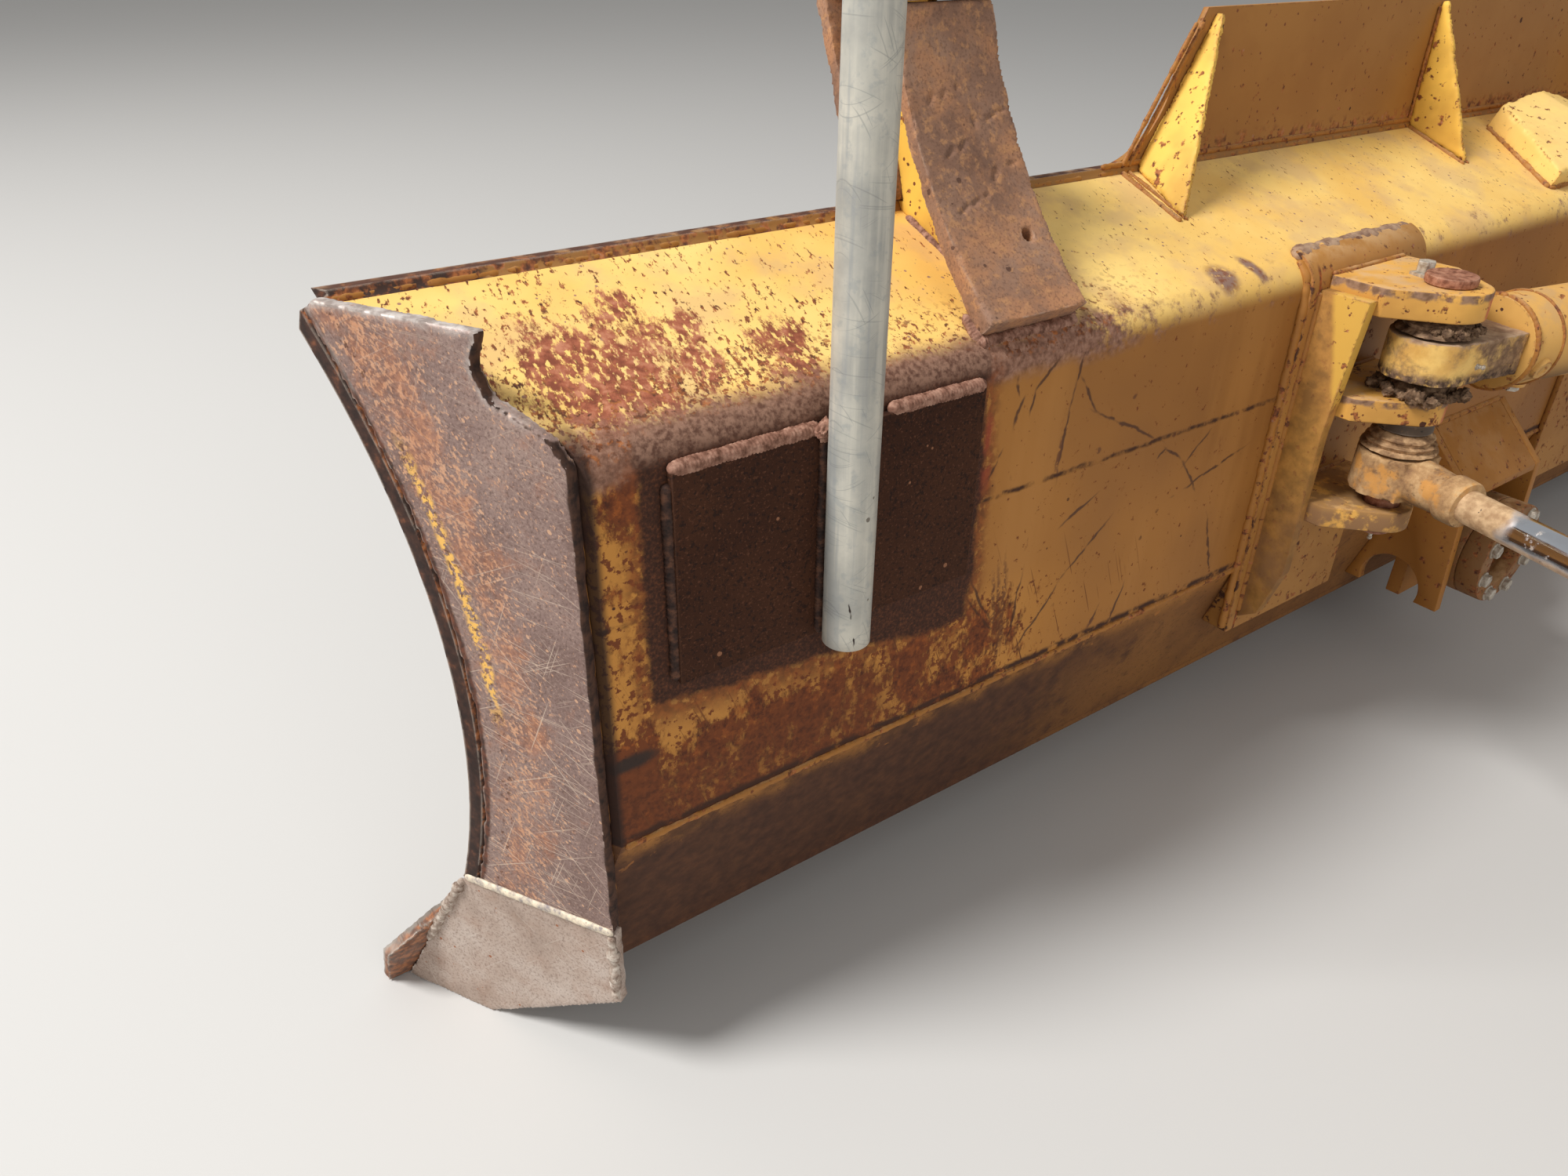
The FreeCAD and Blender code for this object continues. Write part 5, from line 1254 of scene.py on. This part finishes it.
def end_welds():
    """Beads round the wear insert, on the end plate's outer face."""
    for side, tag in SIDES:
        out = (FLARE_NORMAL.x * side, FLARE_NORMAL.y, 0)
        proud = Vector((0, 0, 0.0015))
        line = [end_point(side, 0.002, INSERT_TOP + 0.0015), insert_front(side, INSERT_TOP, 0.004) + proud]
        long = bead(line, 0.0070, up=out, pitch=0.0060, depth=0.03, flat=0.5, seed=20 + side)
        seat(long, f"insert_top_weld_{tag}", "pale_bead", smooth=60)
        rear = [end_point(side, 0.006, INSERT_TOP - 0.004), end_point(side, 0.005, -0.085),
                end_point(side, 0.008, -0.146)]
        front = [insert_front(side, INSERT_TOP - 0.008, 0.003), insert_front(side, -0.110, 0.002),
                 insert_front(side, -0.190, 0.003)]
        pieces = [bead(rear, 0.0085, up=out, pitch=0.011, depth=0.3, lump=0.45, seed=23 + side),
                  bead(front, 0.0080, up=out, pitch=0.010, depth=0.3, lump=0.45, seed=26 + side)]
        weld(pieces, f"insert_edge_weld_{tag}", "grey_bead")


def box_welds():
    """Long painted seams: wall to lower plate, deck to lip, and guard to lip."""
    pieces = []
    for half, y, z, radius, up, pitch, depth, flat, lump, seed in (
            (1.955, WALL - 0.0005, 0.1225, 0.0052, BACK, 0.013, 0.07, 0.7, 0.3, 40),
            (2.11, LIP_Y, deck_z(LIP_Y), 0.0060, (0, -1, 1), 0.013, 0.07, 0.8, 0.3, 41),
            (0.905, LIP_Y, 0.780, 0.0050, BACK, 0.009, 0.12, 0.8, 0.14, 42)):
        pieces.append(bead([(-half, y, z), (half, y, z)], radius, up, pitch, depth, flat, lump, seed, 8))
    weld(pieces, "box_seam_welds")


def horn_welds():
    """Lumpy welds round the rear strap's foot and finer ones beside the web."""
    y, z = 0.143, 0.662
    for side, tag in SIDES:
        low, high = side * HORN_X - HORN_HALF, side * HORN_X + HORN_HALF
        pieces = [bead([(low - 0.004, y, z), (high + 0.004, y, z)], 0.0085, (0, -1, 1), depth=0.3, lump=0.5,
                       seed=50 + side)]
        for x, up, seed in ((low + 0.001, (-1, 0, 1), 53), (high - 0.001, (1, 0, 1), 56)):
            pieces.append(bead([(x, y, z), (x, 0.176, 0.690)], 0.0085, up, depth=0.25, lump=0.4,
                               seed=seed + side))
        for across in (-1, 1):
            x = side * HORN_X + across * 0.0095
            line = [(x, 0.165, deck_z(0.165)), (x, 0.385, deck_z(0.385))]
            pieces.append(bead(line, 0.0065, (across, 0, 1), lump=0.3, seed=59 + across))
        weld(pieces, f"horn_foot_weld_{tag}", "pink_bead")


def gusset_welds():
    """Beads on both sides of each gusset, along the deck and up the guard."""
    pieces = []
    for side in (-1, 0, 1):
        lean = math.tan(math.radians(32)) * side
        for across in (-1, 1):
            x = side * GUSSET_X + across * 0.0085
            along = [(x, 0.272, deck_z(0.272)), (x, GUARD_FACE, deck_z(GUARD_FACE))]
            rise = [(x, GUARD_FACE, 0.775), (x - lean * 0.205, GUARD_FACE, 0.980)]
            pieces.append(bead(along, 0.0050, (across, 0, 1), lump=0.3, seed=62 + side, segments=8))
            pieces.append(bead(rise, 0.0045, BACK, lump=0.3, seed=65 + side, segments=8))
    weld(pieces, "gusset_welds")


def hood_welds():
    """Beads round the hood's foot on the deck."""
    corners = []
    for across, along in ((-0.220, 0.052), (-0.122, 0.258), (0.122, 0.258), (0.220, 0.052), (-0.220, 0.052)):
        y = WALL + along * math.cos(DECK_SLOPE)
        corners.append((HOOD_X + across, y, deck_z(y)))
    sides = zip(corners, corners[1:])
    weld([bead([a, b], 0.0075, lump=0.4, seed=70 + row) for row, (a, b) in enumerate(sides)], "hood_welds")


def bracket_welds():
    """Bracket plates: edge bead, thick worn border over the bend, and the beads of lugs and web."""
    face = WALL - 0.012
    top_y, top_z = WALL + 0.030, 0.6735
    for side, tag in SIDES:
        low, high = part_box(f"bracket_plate_{tag}")
        outer = high.x if side > 0 else low.x
        inner = low.x if side > 0 else high.x
        edge = [(outer, WALL - 0.001, low.z + 0.004), (outer, WALL - 0.003, 0.60),
                (outer, WALL + 0.004, 0.645), (outer, top_y - 0.006, 0.667)]
        edge_bead = bead(edge, 0.0095, (0, -1, 0.1), 0.014, 0.06, lump=0.3, seed=80 + side)
        seat(edge_bead, f"bracket_edge_weld_{tag}", "paint_bead", smooth=60)
        over = [(outer + side * 0.002, top_y - 0.008, top_z - 0.006),
                (outer - side * 0.02, top_y + 0.004, top_z), (inner, top_y + 0.004, top_z)]
        border = bead(over, 0.0140, (0, -0.3, 1), 0.030, 0.03, 0.60, 0.35, 83 + side)
        seat(border, f"bracket_border_{tag}", "border", smooth=60)
        lugs_low, lugs_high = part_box(f"bracket_lugs_{tag}")
        brace_low, brace_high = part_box(f"bracket_brace_{tag}")
        brace_out = brace_high.x if side > 0 else brace_low.x
        line = [(brace_out, face, 0.03), (brace_out, face, brace_high.z - 0.004)]
        pieces = [bead(line, 0.0060, (side, -1, 0), 0.009, 0.1, seed=86 + side)]
        for z in (0.600, 0.645, 0.430, 0.468, 0.238, 0.275):
            line = [(lugs_low.x + 0.004, face, z), (lugs_high.x - 0.004, face, z)]
            pieces.append(bead(line, 0.0055, (0, -1, 1), seed=89 + side, segments=8))
        weld(pieces, f"lug_welds_{tag}")


def on_pin(side, profile, segments=48):
    """A turned piece about a bracket's pin; the profile's distances are heights."""
    return turned((side * PIN_X, PIN_Y, 0), UP, profile, segments)


def nipple(at, along, long):
    """A grease nipple: hexagon, neck and ball."""
    way = Vector(along).normalized()
    shares = ((0, 0.0050), (0.45, 0.0050), (0.50, 0.0032), (0.70, 0.0030), (0.78, 0.0042), (0.90, 0.0040),
              (1, 0.0024))
    body = turned(at, along, [(long * share, radius) for share, radius in shares], 16)
    nut = hexagon(Vector(at) + way * 0.001, along, 0.0125, long * 0.32, 0.0008)
    return joined([body, nut])


def bracket_pin_heads():
    """Domed pin head, its keeper plate and bolt, and a grease nipple under the pin."""
    for side, tag in SIDES:
        x, y = side * PIN_X, PIN_Y
        low, top = (corner.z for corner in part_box(f"bracket_pin_{tag}"))
        profile = [(low, 0.020), (low + 0.004, 0.0265), (low + 0.010, 0.028)]
        profile += [(top - down, radius) for down,
                    radius in ((0.0165, 0.028), (0.0160, 0.0345), (0.0135, 0.0375), (0.0050, 0.0380),
                               (0.0015, 0.0365), (0, 0.0330), (0.0012, 0.0200), (0.0020, 0.0090))]
        stand_in(on_pin(side, profile), f"bracket_pin_{tag}")
        seat_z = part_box(f"bracket_lugs_{tag}")[1].z
        bpy.ops.mesh.primitive_cube_add(size=1, location=(x - side * 0.012, y + 0.044, seat_z + 0.0025))
        keeper = bpy.context.object
        keeper.scale = (0.034, 0.036, 0.005)
        keeper.rotation_euler = (0, 0, side * 0.25)
        change(keeper, "BEVEL", width=0.0020, segments=2)
        bolt = hexagon((x - side * 0.015, y + 0.050, seat_z + 0.005), UP, 0.024, 0.017)
        seat(joined([keeper, bolt]), f"pin_keeper_{tag}", "bolt")
        seat(nipple((x, y, low + 0.001), (0, 0, -1), 0.020), f"pin_nipple_{tag}", "bolt")


def clodded(profile, segments, count, turn, reach, size, height, squash):
    """Mud round the left pin with clods on it; turn, reach, size and height are each a start and a step."""
    lumps = [lumpy(on_pin(-1, profile, segments), 0.015, 0.0040)]
    for step in range(count):
        angle = math.radians(turn[0] + step * turn[1])
        far = reach[0] + reach[1] * (step % 3)
        at = (-PIN_X + far * math.cos(angle), PIN_Y + far * math.sin(angle),
              height[0] + height[1] * (step % 2))
        lumps.append(clod(at, size[0] + size[1] * ((step * 7) % 4), squash))
    return joined(lumps)


def bracket_mud():
    """Mud packed round the left bracket pin and a crusted boot over each angle cylinder's eye."""
    for side, tag in SIDES:
        boot = on_pin(side,
                      [(0.3745, 0.054), (0.3775, 0.060), (0.3810, 0.058), (0.3830, 0.0510),
                       (0.3855, 0.0525), (0.3895, 0.0550), (0.3920, 0.0470), (0.3955, 0.0470),
                       (0.3985, 0.0500), (0.4015, 0.0490), (0.4040, 0.0430), (0.4080, 0.0390)], 40)
        seat(lumpy(boot, 0.016, 0.0034), f"angle_eye_mud_boot_{tag}", "dust_crust",
             f"angle_rod_{tag}", 60)
        sleeve = on_pin(side, [(0.4092, 0.0395), (0.4110, 0.0425), (0.4270, 0.0425), (0.4288, 0.0400)])
        seat(sleeve, f"angle_pin_sleeve_{tag}", "gland")
    ring = clodded([(0.5740, 0.060), (0.5780, 0.056), (0.5820, 0.050), (0.5880, 0.053), (0.5930, 0.047),
                    (0.5965, 0.043)], 48, 9, (-155, 17), (0.050, 0.004), (0.0085, 0), (0.5835, 0.002), 0.8)
    seat(ring, "tilt_eye_mud_ring", "mud", "tilt_barrel", 60)
    core = clodded([(0.4690, 0.047), (0.4740, 0.046), (0.4800, 0.041), (0.4870, 0.042), (0.4930, 0.036)],
                   40, 17, (-175, 21), (0.046, 0.008), (0.0082, 0.0020), (0.4765, 0.003), 0.75)
    seat(core, "tilt_eye_mud_below", "mud", "blade", 60)


def gland_bolts(centre, way, radius, count, first, out, across):
    turn = way.to_track_quat("Z", "X")
    bolts = []
    for step in range(count):
        angle = step * math.tau / count + first
        spot = turn @ Vector((radius * math.cos(angle), radius * math.sin(angle), 0))
        bolts.append(hexagon(centre + spot, way * out, across, 0.007))
    return bolts


def tilt_details():
    """Weld rings, boss, ports, nipple and gland bolts of the tilt cylinder."""
    aim = math.radians(-11.5)
    way = Vector((math.cos(aim), math.sin(aim), 0))
    pin = Vector((-PIN_X, PIN_Y, TILT_PIN_Z))
    rings = [bead(ring_path(pin + way * 0.146, way, 0.0745), 0.0058, way, 0.008, seed=100, segments=8),
             bead(ring_path(pin + way * 0.206, way, 0.0750), 0.0034, way, 0.010, 0.08, seed=101, segments=8)]
    weld(rings, "tilt_barrel_welds", "paint_bead", "tilt_barrel")
    rear = (Vector((way.y, -way.x, 0)) * 0.94 + Vector((0, 0, -0.34))).normalized()
    down = (0, 0, -1)
    parts = [turned(pin + way * 0.176 + rear * 0.066, rear, [
        (0, 0.019), (0.012, 0.018), (0.0150, 0.0160), (0.0155, 0.008), (0.0135, 0.006)])]
    ports = (0.235, 0.575)
    for reach in ports:
        parts.append(turned(pin + way * reach - Vector((0, 0, 0.0700)), down, [
            (0, 0.021), (0.008, 0.020), (0.0150, 0.0190), (0.0155, 0.0120), (0.0156, 0.004)]))
    seat(joined(parts), "tilt_barrel_bosses", "barrel", "tilt_barrel")
    plugs = [hexagon(pin + way * reach - Vector((0, 0, 0.0850)), down, 0.022, 0.010) for reach in ports]
    plugs += gland_bolts(pin + way * 0.6885, way, 0.060, 8, 0.2, 1, 0.015)
    plugs.append(nipple(pin + Vector((0.020, -0.0615, -0.006)), (0.25, -1, 0.05), 0.018))
    seat(joined(plugs), "tilt_barrel_fittings", "bolt", "tilt_barrel")


def angle_details():
    """Collar, weld rings, ports and gland bolts of both angle cylinders."""
    ports = (0.655, 1.125)
    for side, tag in SIDES:
        aim = math.radians(side * 13.9 - 90)
        way = Vector((math.cos(aim), math.sin(aim), 0))
        pin = Vector((side * PIN_X, PIN_Y, ANGLE_PIN_Z))
        collar = turned(pin, way,
                        [(0.116, 0.0345), (0.1165, 0.0385), (0.1200, 0.0395), (0.1460, 0.0385),
                         (0.1500, 0.0365), (0.1505, 0.030)], 48)
        seat(collar, f"angle_rod_collar_{tag}", "eye", f"angle_rod_{tag}")
        parts = [bead(ring_path(pin + way * 1.185, way, 0.0555), 0.0050, way, 0.008, seed=103, segments=8),
                 bead(ring_path(pin + way * 0.640, way, 0.0560), 0.0030, way, 0.010, 0.08, seed=104,
                      segments=8)]
        for reach in ports:
            parts.append(turned(pin + way * reach + Vector((0, 0, 0.052)), UP, [
                (0, 0.019), (0.008, 0.018), (0.0160, 0.0170), (0.0165, 0.0110), (0.0166, 0.004)]))
        weld(parts, f"angle_barrel_bosses_{tag}", "barrel", f"angle_barrel_{tag}")
        plugs = [hexagon(pin + way * reach + Vector((0, 0, 0.068)), UP, 0.022, 0.010) for reach in ports]
        plugs += gland_bolts(pin + way * 0.5605, way, 0.045, 6, 0, -1, 0.013)
        seat(joined(plugs), f"angle_barrel_fittings_{tag}", "bolt", f"angle_barrel_{tag}")


def socket_bolts():
    """Bolts that hold the cap of the ball socket, and welds of its housing."""
    bolts = []
    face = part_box("socket_cap")[0].y
    for step in range(8):
        angle = step * math.tau / 8 + math.tau / 16
        spot = Vector((0.088 * math.cos(angle), face + 0.0005, 0.088 * math.sin(angle)))
        bolts.append(hexagon(spot, BACK, 0.024, 0.013))
        bolts.append(turned(spot, BACK, [(-0.001, 0.0165), (0.0025, 0.0165), (0.0030, 0.0155)], 24))
    seat(joined(bolts), "socket_cap_bolts", "bolt")
    pieces = []
    y = WALL - 0.0005
    for side in (-1, 1):
        for across in (0.129, 0.151):
            line = [(side * across, y, 0.140), (side * across, y, 0.255)]
            pieces.append(bead(line, 0.0060, (side, -1, 0), seed=110, segments=8))
    roof = [(-0.127, WALL - 0.001, 0.2605), (0.127, WALL - 0.001, 0.2605)]
    pieces.append(bead(roof, 0.0060, (0, -1, 1), seed=111, segments=8))
    weld(pieces, "socket_welds")


def edge_bolts():
    """Plough bolts along the cutting edge and end bits: square heads sunk nearly flush."""
    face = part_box("cutting_edge")[1].y - math.tan(EDGE_LEAN) * EDGE_BOLT_UP
    heads = []
    for side in (-1, 1):
        for step in range(14):
            x = side * (0.075 + 0.15 * step)
            bpy.ops.mesh.primitive_cube_add(size=1, location=(x, face, GROUND + EDGE_BOLT_UP))
            head = bpy.context.object
            head.scale = (0.030, 0.006, 0.030)
            head.rotation_euler = (EDGE_LEAN, 0, 0)
            change(head, "BEVEL", width=0.0022, segments=2)
            heads.append(head)
    seat(joined(heads), "edge_bolts", "bolt")


for make in (worn_plates, mast_welds, end_welds, box_welds, horn_welds, gusset_welds, hood_welds,
             bracket_welds, bracket_pin_heads, bracket_mud, tilt_details, angle_details, socket_bolts,
             edge_bolts):
    make()


# Camera: where it stands, where it looks, and its lens.
CAMERA_AT = (-2.39, -0.829, 1.128)
CAMERA_HEADING = math.radians(54.59)
CAMERA_DOWN = math.radians(31.29)
CAMERA_ROLL = math.radians(0.61)
CAMERA_LENS = 25.71
CAMERA_SENSOR = 36

# Studio: pale floor, and soft lamps with their place, aim, size and power.
FLOOR_COLOUR = (0.58, 0.565, 0.54, 1)
SKY_STRENGTH = 0.40
LAMPS = (
    ("key", (-8.6, 2.4, 9.8), (-1.0, 0.2, 0.2), 4.0, 1750),
    ("fill", (-2.5, -7.0, 4.0), (-0.8, 0.0, 0.2), 5.0, 110))


def camera():
    bpy.ops.object.camera_add(location=CAMERA_AT)
    eye = bpy.context.object
    flat = math.cos(CAMERA_DOWN)
    aim = Vector((math.cos(CAMERA_HEADING) * flat, math.sin(CAMERA_HEADING) * flat, -math.sin(CAMERA_DOWN)))
    turn = aim.to_track_quat("-Z", "Y") @ Quaternion((0, 0, 1), CAMERA_ROLL)
    eye.rotation_euler = turn.to_euler()
    eye.data.lens = CAMERA_LENS
    eye.data.sensor_width = CAMERA_SENSOR
    eye.data.clip_end = 200
    bpy.context.scene.camera = eye


def lamp(name, at, aim, size, watts):
    bpy.ops.object.light_add(type="AREA", location=at)
    light = bpy.context.object
    light.name = name
    light.rotation_euler = (Vector(aim) - Vector(at)).to_track_quat("-Z", "Y").to_euler()
    light.data.shape = "DISK"
    light.data.size = size
    light.data.energy = watts


def stage():
    bpy.ops.mesh.primitive_plane_add(size=60, location=(0, 0, GROUND))
    floor = bpy.context.object
    floor.name = "floor"
    paint = bpy.data.materials.new("floor_pale")
    paint.use_nodes = True
    shader = paint.node_tree.nodes["Principled BSDF"]
    shader.inputs["Base Color"].default_value = FLOOR_COLOUR
    shader.inputs["Roughness"].default_value = 0.9
    floor.data.materials.append(paint)
    for row in LAMPS:
        lamp(*row)
    world = bpy.context.scene.world or bpy.data.worlds.new("world")
    bpy.context.scene.world = world
    world.use_nodes = True
    sky = world.node_tree.nodes["Background"]
    sky.inputs["Color"].default_value = (1, 1, 1, 1)
    sky.inputs["Strength"].default_value = SKY_STRENGTH


camera()
stage()
bpy.context.scene.view_settings.view_transform = "Standard"
